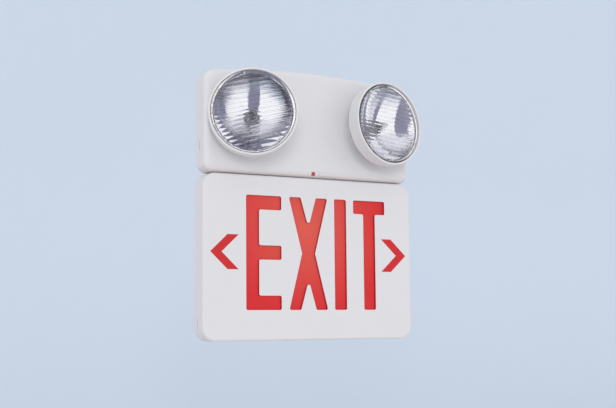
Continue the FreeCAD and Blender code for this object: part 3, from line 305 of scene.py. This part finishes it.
def lens_mesh(glass, radius, low, high):
    """A clear lens: a domed front, ribs across its back, a plain flange round them and two keys on it."""
    flange_front = high - glass.dome
    flange_back = flange_front - glass.flange_thickness
    field = glass.rib_field
    bm = bmesh.new()
    phase = bm.verts.layers.float.new("rib_phase")
    front = disc(bm, field, glass.rows, glass.columns)
    sphere = (field ** 2 + glass.dome ** 2) / (2 * glass.dome)
    for vertex in front:
        distance = vertex.co.xy.length
        vertex.co.z = high - sphere + math.sqrt(sphere ** 2 - distance ** 2)
    rim = [edge for edge in edges_of(front) if edge.is_boundary]
    flange_edge = flange_front - glass.flange_fall
    for ring_radius, height in ((radius - LENS_EDGE_ROUND, flange_edge), (radius, flange_edge - LENS_EDGE_ROUND),
                                (radius, flange_back), (field, flange_back), (field, low)):
        rim = step_out(bm, rim, ring_radius, height)

    back = disc(bm, field, glass.rows, glass.columns)
    for vertex in back:
        edge_fade = min(1, (field - vertex.co.xy.length) / (0.5 * MM))
        vertex.co.z = low + edge_fade * rib_height(vertex.co.y, glass)
        vertex[phase] = PHASE_START + vertex.co.y / glass.rib_spacing
    bmesh.ops.remove_doubles(bm, verts=bm.verts, dist=1e-6)
    length = radius - glass.key_height - field
    for end in (-1, 1):
        middle = Vector((0, end * (field + length / 2), flange_front))
        add_block(bm, middle, (glass.key_width, length, 2 * glass.key_height), LENS_EDGE_ROUND, FROSTED)
    bmesh.ops.recalc_face_normals(bm, faces=bm.faces)
    for face in bm.faces:
        face.smooth = True
    for edge in bm.edges:
        if edge.is_manifold and edge.calc_face_angle() > SHARP_EDGE:
            edge.smooth = False
    return bm


class EXIT_LIGHT_OT_lenses(bpy.types.Operator):
    """Model both ribbed lenses and put them in the lamp heads"""
    bl_idname = "exit_light.lenses"
    bl_label = "Lenses"

    def execute(self, context):
        glass = context.scene.exit_light_glass
        clear = clear_plastic()
        frosted = new_material("lens_key", Transmission_Weight=0.6, IOR=1.49, Roughness=0.5)[0]
        for side in SIDES:
            turn = glass.left_turn if side == "left" else glass.right_turn
            radius, low, high = extent(f"lens_{side}", side)
            bm = lens_mesh(glass, radius, low, high)
            roll = Matrix.Rotation(math.pi / 2 + turn, 4, "Z")
            bmesh.ops.transform(bm, matrix=head_matrix(side) @ roll, verts=bm.verts)
            piece = add_piece(f"fluted_lens_{side}", bm, f"head_{side}", f"lens_{side}", slot="lens_clear")
            paint(piece, clear)
            piece.data.materials.append(frosted)
        return {"FINISHED"}


# ---------------------------------------------------------------- bulbs

def spun(bm, profile, steps=32):
    """A profile of (radius, height) turned about the Z axis."""
    corners = [bm.verts.new((radius, 0, height)) for radius, height in profile]
    sides = [bm.edges.new(pair) for pair in zip(corners, corners[1:])]
    bmesh.ops.spin(bm, geom=corners + sides, cent=(0, 0, 0), axis=(0, 0, 1), dvec=(0, 0, 0),
                   angle=2 * math.pi, steps=steps, use_merge=False, use_duplicate=False)


def capsule_profile(radius, low, high, steps=8):
    """A round-topped capsule from its tip down to the middle of its base."""
    arc = [(radius * math.sin(turn), high - radius + radius * math.cos(turn))
           for turn in (math.pi / 2 * step / steps for step in range(steps + 1))]
    arc[0] = (0, high)
    return arc + [(radius, low + radius * 0.4), (radius * 0.75, low), (0, low)]


def coil(bm, radius, wire, turns, length, matrix):
    """A wound filament along X."""
    others = set(bm.verts)
    start = Matrix.Translation((-length / 2, 0, radius)) @ Matrix.Rotation(math.pi / 2, 4, "X")
    made = bmesh.ops.create_circle(bm, segments=6, radius=wire, matrix=start)
    steps = turns * 12
    bmesh.ops.spin(bm, geom=made["verts"] + edges_of(made["verts"]), cent=(0, 0, 0), axis=(1, 0, 0),
                   dvec=(length / steps, 0, 0), angle=2 * math.pi * turns, steps=steps,
                   use_merge=False, use_duplicate=False)
    wound = [vertex for vertex in bm.verts if vertex not in others]
    bmesh.ops.transform(bm, matrix=matrix, verts=wound)


def bulb_mesh(radius, low, seat, high):
    """A halogen capsule: glass, a pinched base, a coiled filament and its two posts."""
    wall = 0.7 * MM
    floor = 2 * MM
    bm = bmesh.new()
    spun(bm, capsule_profile(radius - wall, seat + floor, high - wall))
    for face in bm.faces:
        face.material_index = CAVITY
    spun(bm, capsule_profile(radius, seat, high))
    pinch = (1.8 * radius, 0.5 * radius, seat - low)
    add_block(bm, Vector((0, 0, (low + seat) / 2)), pinch, 0.4 * MM, GLASS)
    glass = set(bm.faces)

    middle = (seat + high) / 2 + 1 * MM
    reach = 1.8 * MM
    coil(bm, radius=0.8 * MM, wire=0.14 * MM, turns=7, length=2 * reach,
         matrix=Matrix.Translation((0, 0, middle)))
    post_foot = seat + floor + 0.2 * MM
    post = 0.3 * MM
    for side in (-reach, reach):
        place = Matrix.Translation((side, 0, (post_foot + middle) / 2))
        bmesh.ops.create_cone(bm, cap_ends=True, segments=10, radius1=post, radius2=post,
                              depth=middle - post_foot, matrix=place)
    for face in bm.faces:
        if face not in glass:
            face.material_index = METAL

    bmesh.ops.remove_doubles(bm, verts=bm.verts, dist=1e-7)
    bmesh.ops.holes_fill(bm, edges=[edge for edge in bm.edges if edge.is_boundary])
    bmesh.ops.recalc_face_normals(bm, faces=bm.faces)
    cavity = [face for face in bm.faces if face.material_index == CAVITY]
    bmesh.ops.reverse_faces(bm, faces=cavity)
    for face in cavity:
        face.material_index = GLASS
    for face in bm.faces:
        face.smooth = True
    return bm


class EXIT_LIGHT_OT_bulbs(bpy.types.Operator):
    """Model both halogen bulbs with their filaments"""
    bl_idname = "exit_light.bulbs"
    bl_label = "Bulbs"

    def execute(self, context):
        envelope = new_material("bulb_glass", Transmission_Weight=1.0, IOR=1.47, Roughness=0.0)[0]
        filament = bright_metal("tungsten", (0.42, 0.41, 0.40), 0.3)
        for side in SIDES:
            radius, low, high = extent(f"bulb_{side}", side)
            seat = extent(f"lamp_holder_{side}", side)[2] + 0.3 * MM
            bm = bulb_mesh(radius, low, seat, high)
            bmesh.ops.transform(bm, matrix=head_matrix(side), verts=bm.verts)
            piece = add_piece(f"halogen_bulb_{side}", bm, f"head_{side}", f"bulb_{side}", slot="bulb_glass")
            paint(piece, envelope)
            piece.data.materials.append(filament)
        return {"FINISHED"}


# ---------------------------------------------------------------- shader helpers

def new_group(name, inputs, outputs):
    """A shader node group with named sockets, given as (name, kind, default)."""
    group = bpy.data.node_groups.new(name, "ShaderNodeTree")
    for label, kind, default in inputs:
        socket = group.interface.new_socket(name=label, in_out="INPUT", socket_type=f"NodeSocket{kind}")
        socket.default_value = default
    for label, kind in outputs:
        group.interface.new_socket(name=label, in_out="OUTPUT", socket_type=f"NodeSocket{kind}")
    source = group.nodes.new("NodeGroupInput")
    sink = group.nodes.new("NodeGroupOutput")
    return group, source, sink


def feed(tree, socket, value):
    """Link a socket to another one, or give it a plain value."""
    if isinstance(value, bpy.types.NodeSocket):
        tree.links.new(value, socket)
    else:
        socket.default_value = value


def add_node(tree, kind, settings=None, **inputs):
    """Add a node; settings are its own fields, and inputs go to its sockets.
    An input is named like its socket, with _ for a space, or i0, i1 and so on by its place."""
    node = tree.nodes.new(f"ShaderNode{kind}")
    for field, value in (settings or {}).items():
        setattr(node, field, value)
    for name, value in inputs.items():
        by_place = name[0] == "i" and name[1:].isdigit()
        feed(tree, node.inputs[int(name[1:]) if by_place else name.replace("_", " ")], value)
    return node


def add_group(tree, group, **inputs):
    """Add a node group, with values or sockets for its inputs."""
    return add_node(tree, "Group", {"node_tree": group}, **inputs)


def new_material(name, **plain):
    """A material with its Principled shader, whose plain values are set on the shader's own sockets."""
    material = bpy.data.materials.new(name)
    material.use_nodes = True
    tree = material.node_tree
    shader = tree.nodes["Principled BSDF"]
    for label, value in plain.items():
        shader.inputs[label.replace("_", " ")].default_value = value
    return material, tree, shader


def rgba(colour, factor=1.0):
    """A colour with full alpha, made brighter or darker by a factor."""
    return (colour[0] * factor, colour[1] * factor, colour[2] * factor, 1.0)


def maths(tree, operation, *values):
    """The result of a sum on one to three values or sockets."""
    inputs = {f"i{place}": value for place, value in enumerate(values)}
    return add_node(tree, "Math", {"operation": operation}, **inputs).outputs[0]


def blend(tree, share, first, second):
    """A colour that goes from the first to the second as its share goes from 0 to 1."""
    return add_node(tree, "Mix", {"data_type": "RGBA"}, i0=share, i6=first, i7=second).outputs[2]


def soft_step(tree, value, start, end, first=0.0, last=1.0):
    """A number that goes softly from first to last while a value goes from start to end."""
    return add_node(tree, "MapRange", {"interpolation_type": "SMOOTHSTEP"}, Value=value, From_Min=start,
                    From_Max=end, To_Min=first, To_Max=last).outputs[0]


def between(tree, value, low, high, softness):
    """1 where a value lies between two limits, with soft edges."""
    rise = soft_step(tree, value, low - softness, low + softness)
    fall = soft_step(tree, value, high - softness, high + softness, first=1.0, last=0.0)
    return maths(tree, "MULTIPLY", rise, fall)


def object_place(tree):
    """The place on the object, in metres."""
    return add_node(tree, "TexCoord").outputs["Object"]


def noise(tree, place, scale, detail):
    """Blotches between 0 and 1, as many to the metre as the scale says."""
    return add_node(tree, "TexNoise", Vector=place, Scale=scale, Detail=detail).outputs["Fac"]


def moulding_group():
    """Moulded plastic: a slow change of tone and roughness, and the height of a fine spark grain."""
    name = "moulding"
    if name in bpy.data.node_groups:
        return bpy.data.node_groups[name]
    group, source, sink = new_group(
        name,
        [("Colour", "Color", (0.7, 0.7, 0.7, 1)), ("Tone", "Float", 0.03), ("Grain Size", "Float", 0.6),
         ("Roughness", "Float", 0.45), ("Blotch Size", "Float", 90.0)],
        [("Colour", "Color"), ("Roughness", "Float"), ("Grain", "Float")])
    place = object_place(group)
    blotch = noise(group, place, maths(group, "DIVIDE", 1 / MM, source.outputs["Blotch Size"]), 3.0)
    swing = add_node(group, "MapRange", Value=blotch, To_Min=-1.0, To_Max=1.0).outputs[0]
    tone = maths(group, "MULTIPLY_ADD", swing, source.outputs["Tone"], 1.0)
    shade = add_node(group, "VectorMath", {"operation": "SCALE"}, i0=source.outputs["Colour"], Scale=tone)
    grain = noise(group, place, maths(group, "DIVIDE", 1 / MM, source.outputs["Grain Size"]), 2.0)
    rough = maths(group, "MULTIPLY_ADD", swing, 0.04, source.outputs["Roughness"])
    group.links.new(shade.outputs[0], sink.inputs["Colour"])
    group.links.new(rough, sink.inputs["Roughness"])
    group.links.new(grain, sink.inputs["Grain"])
    return group


def moulding(name, colour, roughness=0.42, grain_size=0.7, grain_depth=0.02, tone=0.015, **plain):
    """A moulded plastic, with its tree, shader and group node; grain size and depth are in millimetres."""
    material, tree, shader = new_material(name, **plain)
    group = add_group(tree, moulding_group(), Colour=rgba(colour), Tone=tone, Grain_Size=grain_size,
                      Roughness=roughness)
    bump = add_node(tree, "Bump", Strength=0.35, Distance=grain_depth * MM, Height=group.outputs["Grain"])
    tree.links.new(group.outputs["Colour"], shader.inputs["Base Color"])
    tree.links.new(group.outputs["Roughness"], shader.inputs["Roughness"])
    tree.links.new(bump.outputs["Normal"], shader.inputs["Normal"])
    return material, tree, shader, group


def moulded(name, colour, **settings):
    """A moulded plastic that needs nothing more."""
    return moulding(name, colour, **settings)[0]


def clear_plastic():
    """Clear acrylic, with painted shade along the ribs' ridges and a faint ripple."""
    material, tree, shader = new_material("clear_lens", Transmission_Weight=1.0, IOR=1.49, Roughness=0.03)
    phase = add_node(tree, "Attribute", {"attribute_name": "rib_phase"}).outputs["Fac"]
    # Painted shade: a darker tint along each rib's ridge
    from_ridge = maths(tree, "PINGPONG", phase, 0.5)
    ridge_shade = soft_step(tree, from_ridge, 0.02, 0.12, first=1.0, last=0.0)
    ribbed = maths(tree, "GREATER_THAN", phase, 1.0)
    line = maths(tree, "MULTIPLY", ridge_shade, ribbed)
    tint = blend(tree, line, rgba((0.97, 0.975, 0.985)), rgba((0.58, 0.58, 0.64)))
    tree.links.new(tint, shader.inputs["Base Color"])
    ripple = noise(tree, object_place(tree), 260.0, 2.0)
    bump = add_node(tree, "Bump", Strength=0.25, Distance=0.05 * MM, Height=ripple)
    tree.links.new(bump.outputs["Normal"], shader.inputs["Normal"])
    return material


def bright_metal(name, colour, roughness):
    """Plated or polished metal with faint haze."""
    material, tree, shader = new_material(name, Metallic=1.0)
    haze = noise(tree, object_place(tree), 40.0, 4.0)
    rough = add_node(tree, "MapRange", Value=haze, To_Min=roughness * 0.7, To_Max=roughness * 1.3)
    tree.links.new(blend(tree, haze, rgba(colour, 0.93), rgba(colour)), shader.inputs["Base Color"])
    tree.links.new(rough.outputs[0], shader.inputs["Roughness"])
    return material


# ---------------------------------------------------------------- finishes of the covers

def sign_cover_finish(colours):
    """Cover plastic, with the red panel's glow and shade painted on the walls of the letter windows."""
    material, tree, shader, group = moulding("sign_plastic", colours.cover)
    low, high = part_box("sign_cover")
    half = (high - low) / 2 - Vector((LEGEND_MARGIN,) * 3)
    panel_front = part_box("red_panel")[0].y
    place = add_node(tree, "SeparateXYZ", Vector=object_place(tree))
    facing = add_node(tree, "NewGeometry")
    normal = add_node(tree, "SeparateXYZ", Vector=facing.outputs["Normal"])
    # Mask of the window walls that get the painted red glow and shade
    light_painted = maths(tree, "LESS_THAN", maths(tree, "ABSOLUTE", normal.outputs["Y"]), 0.3)
    for axis, reach in (("X", half.x), ("Z", half.z)):
        near = maths(tree, "LESS_THAN", maths(tree, "ABSOLUTE", place.outputs[axis]), reach)
        light_painted = maths(tree, "MULTIPLY", light_painted, near)
    ahead = maths(tree, "LESS_THAN", place.outputs["Y"], panel_front + 0.1 * MM)
    light_painted = maths(tree, "MULTIPLY", light_painted, ahead)
    tone = blend(tree, light_painted, group.outputs["Colour"], rgba(colours.painted_window_glow))
    tree.links.new(tone, shader.inputs["Base Color"])
    return material


def lamp_box_finish(name, colours):
    """Cover plastic, with painted shade and a painted reflection of the red panel darkening and warming it
    towards the sign.
    """
    material, tree, shader, group = moulding(name, colours.cover)
    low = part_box("lamp_cover")[0].z
    place = add_node(tree, "SeparateXYZ", Vector=object_place(tree))
    # Painted shade and red reflection, fading out upwards from the lamp box's bottom edge
    seam_shade = soft_step(tree, place.outputs["Z"], low, low + SEAM_SHADE_HEIGHT, first=0.6, last=0.0)
    tone = blend(tree, seam_shade, group.outputs["Colour"], rgba(colours.painted_seam_shade))
    tree.links.new(tone, shader.inputs["Base Color"])
    return material


def housing_finish(colours, side):
    """Cover plastic with a painted shade line round the drum's rear edge."""
    material, tree, shader, group = moulding(f"head_plastic_{side}", colours.cover, roughness=0.36,
                                             grain_depth=0.01)
    stand = head_matrix(side)
    own = add_node(tree, "Mapping", {"vector_type": "TEXTURE"}, Vector=object_place(tree),
                   Location=stand.to_translation(), Rotation=stand.to_euler())
    place = add_node(tree, "SeparateXYZ", Vector=own.outputs[0])
    rear = extent(f"lens_{side}", side)[2] - DRUM_BEHIND_LENS
    # Painted shade along the drum's rear edge
    line = between(tree, place.outputs["Z"], rear, rear + REAR_SHADE_WIDTH, 0.15 * MM)
    tone = blend(tree, line, group.outputs["Colour"], rgba(colours.rear_edge_shade))
    tree.links.new(tone, shader.inputs["Base Color"])
    return material


def panel_finish(colours):
    """Red acrylic with the light strips' glow in its upper middle."""
    material, tree, shader = new_material("panel_red_acrylic", Roughness=0.35, Specular_IOR_Level=0.4,
                                          Emission_Strength=0.12)
    place = object_place(tree)
    low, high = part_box("red_panel")
    spot = add_node(tree, "Mapping", {"vector_type": "TEXTURE"}, Vector=place,
                    Location=(low + high) / 2 + GLOW_OFFSET, Scale=GLOW_REACH)
    glow = add_node(tree, "TexGradient", {"gradient_type": "SPHERICAL"}, Vector=spot.outputs["Vector"])
    amount = maths(tree, "MULTIPLY_ADD", noise(tree, place, 14.0, 2.0), 0.25, glow.outputs["Fac"])
    lit = maths(tree, "SUBTRACT", amount, 0.12)
    tone = blend(tree, lit, rgba(colours.legend), rgba(colours.legend_pale))
    for socket in ("Base Color", "Emission Color"):
        tree.links.new(tone, shader.inputs[socket])
    return material


class EXIT_LIGHT_OT_covers(bpy.types.Operator):
    """Finish the covers, the back plate and the test button"""
    bl_idname = "exit_light.covers"
    bl_label = "Covers"

    def execute(self, context):
        colours = context.scene.exit_light_colours
        nodes = frame["nodes"]
        paint(nodes["sign_cover"], sign_cover_finish(colours))
        paint(nodes["lamp_cover"], lamp_box_finish("lamp_box_plastic", colours))
        paint(nodes["test_button"], lamp_box_finish("button_plastic", colours))
        paint(nodes["back_plate"], moulded("back_plastic", colours.plate, roughness=0.5, tone=0.04))
        return {"FINISHED"}


class EXIT_LIGHT_OT_legend(bpy.types.Operator):
    """Finish the red panel, the chevrons and the charge indicator"""
    bl_idname = "exit_light.legend"
    bl_label = "Legend"

    def execute(self, context):
        colours = context.scene.exit_light_colours
        nodes = frame["nodes"]
        paint(nodes["red_panel"], panel_finish(colours))
        insert = moulded("chevron_plastic", colours.chevron, roughness=0.35, tone=0.05,
                         Specular_IOR_Level=0.4)
        for side in SIDES:
            paint(nodes[f"chevron_insert_{side}"], insert)
        indicator = moulded("indicator_plastic", colours.indicator, roughness=0.2, Coat_Weight=0.5)
        paint(nodes["indicator_lens"], indicator)
        return {"FINISHED"}


class EXIT_LIGHT_OT_heads(bpy.types.Operator):
    """Finish the lamp heads, their collars, reflectors and lamps"""
    bl_idname = "exit_light.heads"
    bl_label = "Lamp heads"

    def execute(self, context):
        colours = context.scene.exit_light_colours
        nodes = frame["nodes"]
        collar = moulded("collar_plastic", colours.cover, roughness=0.4)
        mirror = bright_metal("bright_reflector", (0.93, 0.93, 0.95), 0.04)
        steel = bright_metal("plated_steel", (0.62, 0.63, 0.65), 0.28)
        ceramic = moulded("lamp_holder_ceramic", (0.68, 0.67, 0.72), roughness=0.55, tone=0.05)
        for side in SIDES:
            paint(nodes[f"lamp_housing_{side}"], housing_finish(colours, side))
            paint(nodes[f"swivel_collar_{side}"], collar)
            paint(nodes[f"collar_clip_{side}"], steel)
            paint(nodes[f"tilt_pin_{side}"], steel)
            paint(nodes[f"reflector_{side}"], mirror)
            paint(nodes[f"lamp_holder_{side}"], ceramic)
        return {"FINISHED"}


class EXIT_LIGHT_OT_inside(bpy.types.Operator):
    """Finish the battery, the charger board and the light strips"""
    bl_idname = "exit_light.inside"
    bl_label = "Inside"

    def execute(self, context):
        nodes = frame["nodes"]
        steel = bright_metal("zinc_steel", (0.60, 0.61, 0.62), 0.32)
        board = moulded("board_laminate", (0.02, 0.16, 0.06), roughness=0.35, tone=0.12)
        finishes = {
            "battery_pack": moulded("shrink_wrap", (0.05, 0.16, 0.42), roughness=0.3, tone=0.08),
            "battery_strap": steel, "strap_screws": steel, "board_screws": steel,
            "charger_board": board, "light_strip_top": board, "light_strip_bottom": board,
            "light_chips_top": moulded("chip_resin", (0.72, 0.20, 0.14), roughness=0.25),
            "transformer": moulded("transformer_varnish", (0.16, 0.14, 0.12), roughness=0.5, tone=0.1),
            "relay": moulded("relay_case", (0.03, 0.05, 0.10), roughness=0.35),
            "capacitor": moulded("capacitor_sleeve", (0.03, 0.03, 0.035), roughness=0.3),
            "terminal_block": moulded("terminal_plastic", (0.05, 0.26, 0.12), roughness=0.4),
            "test_switch": moulded("switch_plastic", (0.04, 0.04, 0.045), roughness=0.45),
            "switch_plunger": moulded("plunger_plastic", (0.55, 0.55, 0.55), roughness=0.45),
            "indicator_led": moulded("diode_resin", (0.50, 0.02, 0.03), roughness=0.15),
        }
        finishes["light_chips_bottom"] = finishes["light_chips_top"]
        for node, material in finishes.items():
            paint(nodes[node], material)
        return {"FINISHED"}


# ---------------------------------------------------------------- stage

def mirrored_rays(tree):
    """The light path node, and 1 for rays that come by way of metal or glass."""
    path = add_node(tree, "LightPath")
    return path, maths(tree, "MAXIMUM", path.outputs["Is Glossy Ray"], path.outputs["Is Transmission Ray"])


def sweep(studio, low):
    """Floor and backdrop as one sheet: a bent strip, extruded sideways."""
    reach = 6.0
    bend = 1.2
    front_edge = -0.5  # short of the softboxes that the lamp heads mirror
    floor = low - studio.floor_drop
    wall = studio.backdrop_distance
    bm = bmesh.new()
    start = bm.verts.new((-reach, front_edge, floor))
    corner = bm.verts.new((-reach, wall - bend, floor))
    bm.edges.new((start, corner))
    arc = bmesh.ops.spin(bm, geom=[corner], cent=(-reach, wall - bend, floor + bend), axis=(1, 0, 0),
                         dvec=(0, 0, 0), angle=math.pi / 2, steps=24, use_merge=False, use_duplicate=False)
    last = next(item for item in arc["geom_last"] if isinstance(item, bmesh.types.BMVert))
    top = bm.verts.new((-reach, wall, floor + reach))
    bm.edges.new((last, top))
    made = bmesh.ops.extrude_edge_only(bm, edges=bm.edges[:])["geom"]
    bmesh.ops.translate(bm, vec=(2 * reach, 0, 0), verts=[v for v in made if isinstance(v, bmesh.types.BMVert)])
    bmesh.ops.remove_doubles(bm, verts=bm.verts, dist=1e-6)
    bmesh.ops.recalc_face_normals(bm, faces=bm.faces)
    for face in bm.faces:
        face.smooth = True
    mesh = bpy.data.meshes.new("sweep")
    bm.to_mesh(mesh)
    bm.free()
    sheet = bpy.data.objects.new("sweep", mesh)
    bpy.context.scene.collection.objects.link(sheet)
    paint(sheet, sweep_paper(studio))


def sweep_paper(studio):
    """Paper that shows the backdrop's colour, and throws back light of a plainer tone."""
    material, tree, shader = new_material("sweep_paper", Roughness=0.9)
    fibre = noise(tree, object_place(tree), 1.5, 2.0)
    tone = blend(tree, fibre, rgba(studio.backdrop, 0.98), rgba(studio.backdrop))
    path, mirrored = mirrored_rays(tree)
    direct = maths(tree, "MAXIMUM", path.outputs["Is Camera Ray"], mirrored)
    tree.links.new(blend(tree, direct, rgba(studio.bounce), tone), shader.inputs["Base Color"])
    return material


def front_light(studio):
    """Soft light from beside the camera, which mirrored parts don't show."""
    beam = Vector((0.44, 0.88, -0.14))
    light = bpy.data.lights.new("front", "SUN")
    light.energy = studio.front_strength
    light.angle = math.radians(20)
    lamp = bpy.data.objects.new("front", light)
    lamp.rotation_mode = "QUATERNION"
    lamp.rotation_quaternion = beam.to_track_quat("-Z", "Y")
    lamp.visible_glossy = False
    lamp.visible_transmission = False
    bpy.context.scene.collection.objects.link(lamp)


def mirrored_room():
    """What mirrored parts show: a softbox on either side of a dark gap, by the angle from the wall's normal."""
    group, source, sink = new_group(
        "mirrored_room",
        [("Direction", "Vector", (0, 0, 0)), ("Softbox", "Color", (1.1, 1.1, 1.1, 1)),
         ("Gap", "Color", (0.2, 0.2, 0.3, 1)), ("Walls", "Color", (0.5, 0.5, 0.5, 1))],
        [("Colour", "Color")])
    direction = add_node(group, "SeparateXYZ", Vector=source.outputs["Direction"])
    outward = maths(group, "MULTIPLY", direction.outputs["Y"], -1.0)
    angle = maths(group, "ARCTAN2", direction.outputs["X"], outward)
    colour = source.outputs["Walls"]
    for left, right, low, high, name in ROOM_PANELS:
        across = between(group, angle, math.radians(left), math.radians(right), math.radians(1.5))
        upward = between(group, direction.outputs["Z"], low, high, 0.06)
        share = maths(group, "MULTIPLY", across, upward)
        colour = blend(group, share, colour, source.outputs[name])
    group.links.new(colour, sink.inputs["Colour"])
    return group


def room_light(studio):
    """The world: even light, the room that metal and glass mirror, and the backdrop's colour behind the sweep."""
    world = bpy.data.worlds.new("room")
    bpy.context.scene.world = world
    world.use_nodes = True
    tree = world.node_tree
    path, mirrored = mirrored_rays(tree)
    direction = add_node(tree, "TexCoord").outputs["Generated"]
    room = add_group(tree, mirrored_room(), Direction=direction, Softbox=rgba(studio.softbox),
                     Gap=rgba(studio.gap), Walls=rgba(studio.walls))
    daylight = rgba((0.99, 0.99, 1.01), studio.world_strength)
    light = blend(tree, mirrored, daylight, room.outputs["Colour"])
    seen = blend(tree, path.outputs["Is Camera Ray"], light, rgba(studio.backdrop))
    tree.links.new(seen, tree.nodes["Background"].inputs["Color"])


def add_camera(studio):
    """The camera at the photograph's place and angle."""
    yaw, pitch, roll = studio.yaw, studio.pitch, studio.roll
    ahead = Vector((math.sin(yaw) * math.cos(pitch), math.cos(yaw) * math.cos(pitch), math.sin(pitch)))
    right = Vector((math.cos(yaw), -math.sin(yaw), 0))
    up = right.cross(ahead)
    rolled_right = right * math.cos(roll) + up * math.sin(roll)
    rolled_up = up * math.cos(roll) - right * math.sin(roll)
    camera = bpy.data.cameras.new("camera")
    camera.lens = studio.focal_length
    camera.sensor_width = SENSOR_WIDTH
    camera.clip_start = 0.05
    holder = bpy.data.objects.new("camera", camera)
    bpy.context.scene.collection.objects.link(holder)
    turn = Matrix((rolled_right, rolled_up, -ahead)).transposed().to_4x4()
    holder.matrix_world = Matrix.Translation(Vector(studio.camera_place)) @ turn
    bpy.context.scene.camera = holder


class EXIT_LIGHT_OT_stage(bpy.types.Operator):
    """Set up the camera, the lamps, the floor and the backdrop"""
    bl_idname = "exit_light.stage"
    bl_label = "Stage"

    def execute(self, context):
        studio = context.scene.exit_light_studio
        add_camera(studio)
        room_light(studio)
        front_light(studio)
        sweep(studio, CAD_BOX[0].z)
        context.scene.view_settings.view_transform = "Standard"
        return {"FINISHED"}


# ---------------------------------------------------------------- panel and registration

class EXIT_LIGHT_PT_panel(bpy.types.Panel):
    """Steps and settings of the exit light"""
    bl_idname = "EXIT_LIGHT_PT_panel"
    bl_label = "Exit Light"
    bl_space_type = "VIEW_3D"
    bl_region_type = "UI"
    bl_category = "Exit Light"

    def draw(self, context):
        layout = self.layout
        for operator in OPERATORS:
            layout.operator(operator.bl_idname)
        for name in SETTINGS:
            settings = getattr(context.scene, name)
            box = layout.box()
            for field in settings.__annotations__:
                box.prop(settings, field)


OPERATORS = (EXIT_LIGHT_OT_lenses, EXIT_LIGHT_OT_bulbs, EXIT_LIGHT_OT_covers, EXIT_LIGHT_OT_legend,
             EXIT_LIGHT_OT_heads, EXIT_LIGHT_OT_inside, EXIT_LIGHT_OT_stage)
SETTINGS = {
    "exit_light_colours": ExitLightColours,
    "exit_light_glass": ExitLightGlass,
    "exit_light_studio": ExitLightStudio,
}


def register():
    for group in SETTINGS.values():
        bpy.utils.register_class(group)
    for name, group in SETTINGS.items():
        setattr(bpy.types.Scene, name, PointerProperty(type=group))
    for operator in OPERATORS:
        bpy.utils.register_class(operator)
    bpy.utils.register_class(EXIT_LIGHT_PT_panel)


def unregister():
    bpy.utils.unregister_class(EXIT_LIGHT_PT_panel)
    for operator in reversed(OPERATORS):
        bpy.utils.unregister_class(operator)
    for name in SETTINGS:
        delattr(bpy.types.Scene, name)
    for group in reversed(SETTINGS.values()):
        bpy.utils.unregister_class(group)


def main():
    register()
    for operator in OPERATORS:
        step = operator.bl_idname.split(".")[1]
        getattr(bpy.ops.exit_light, step)()


if __name__ == "__main__":
    main()
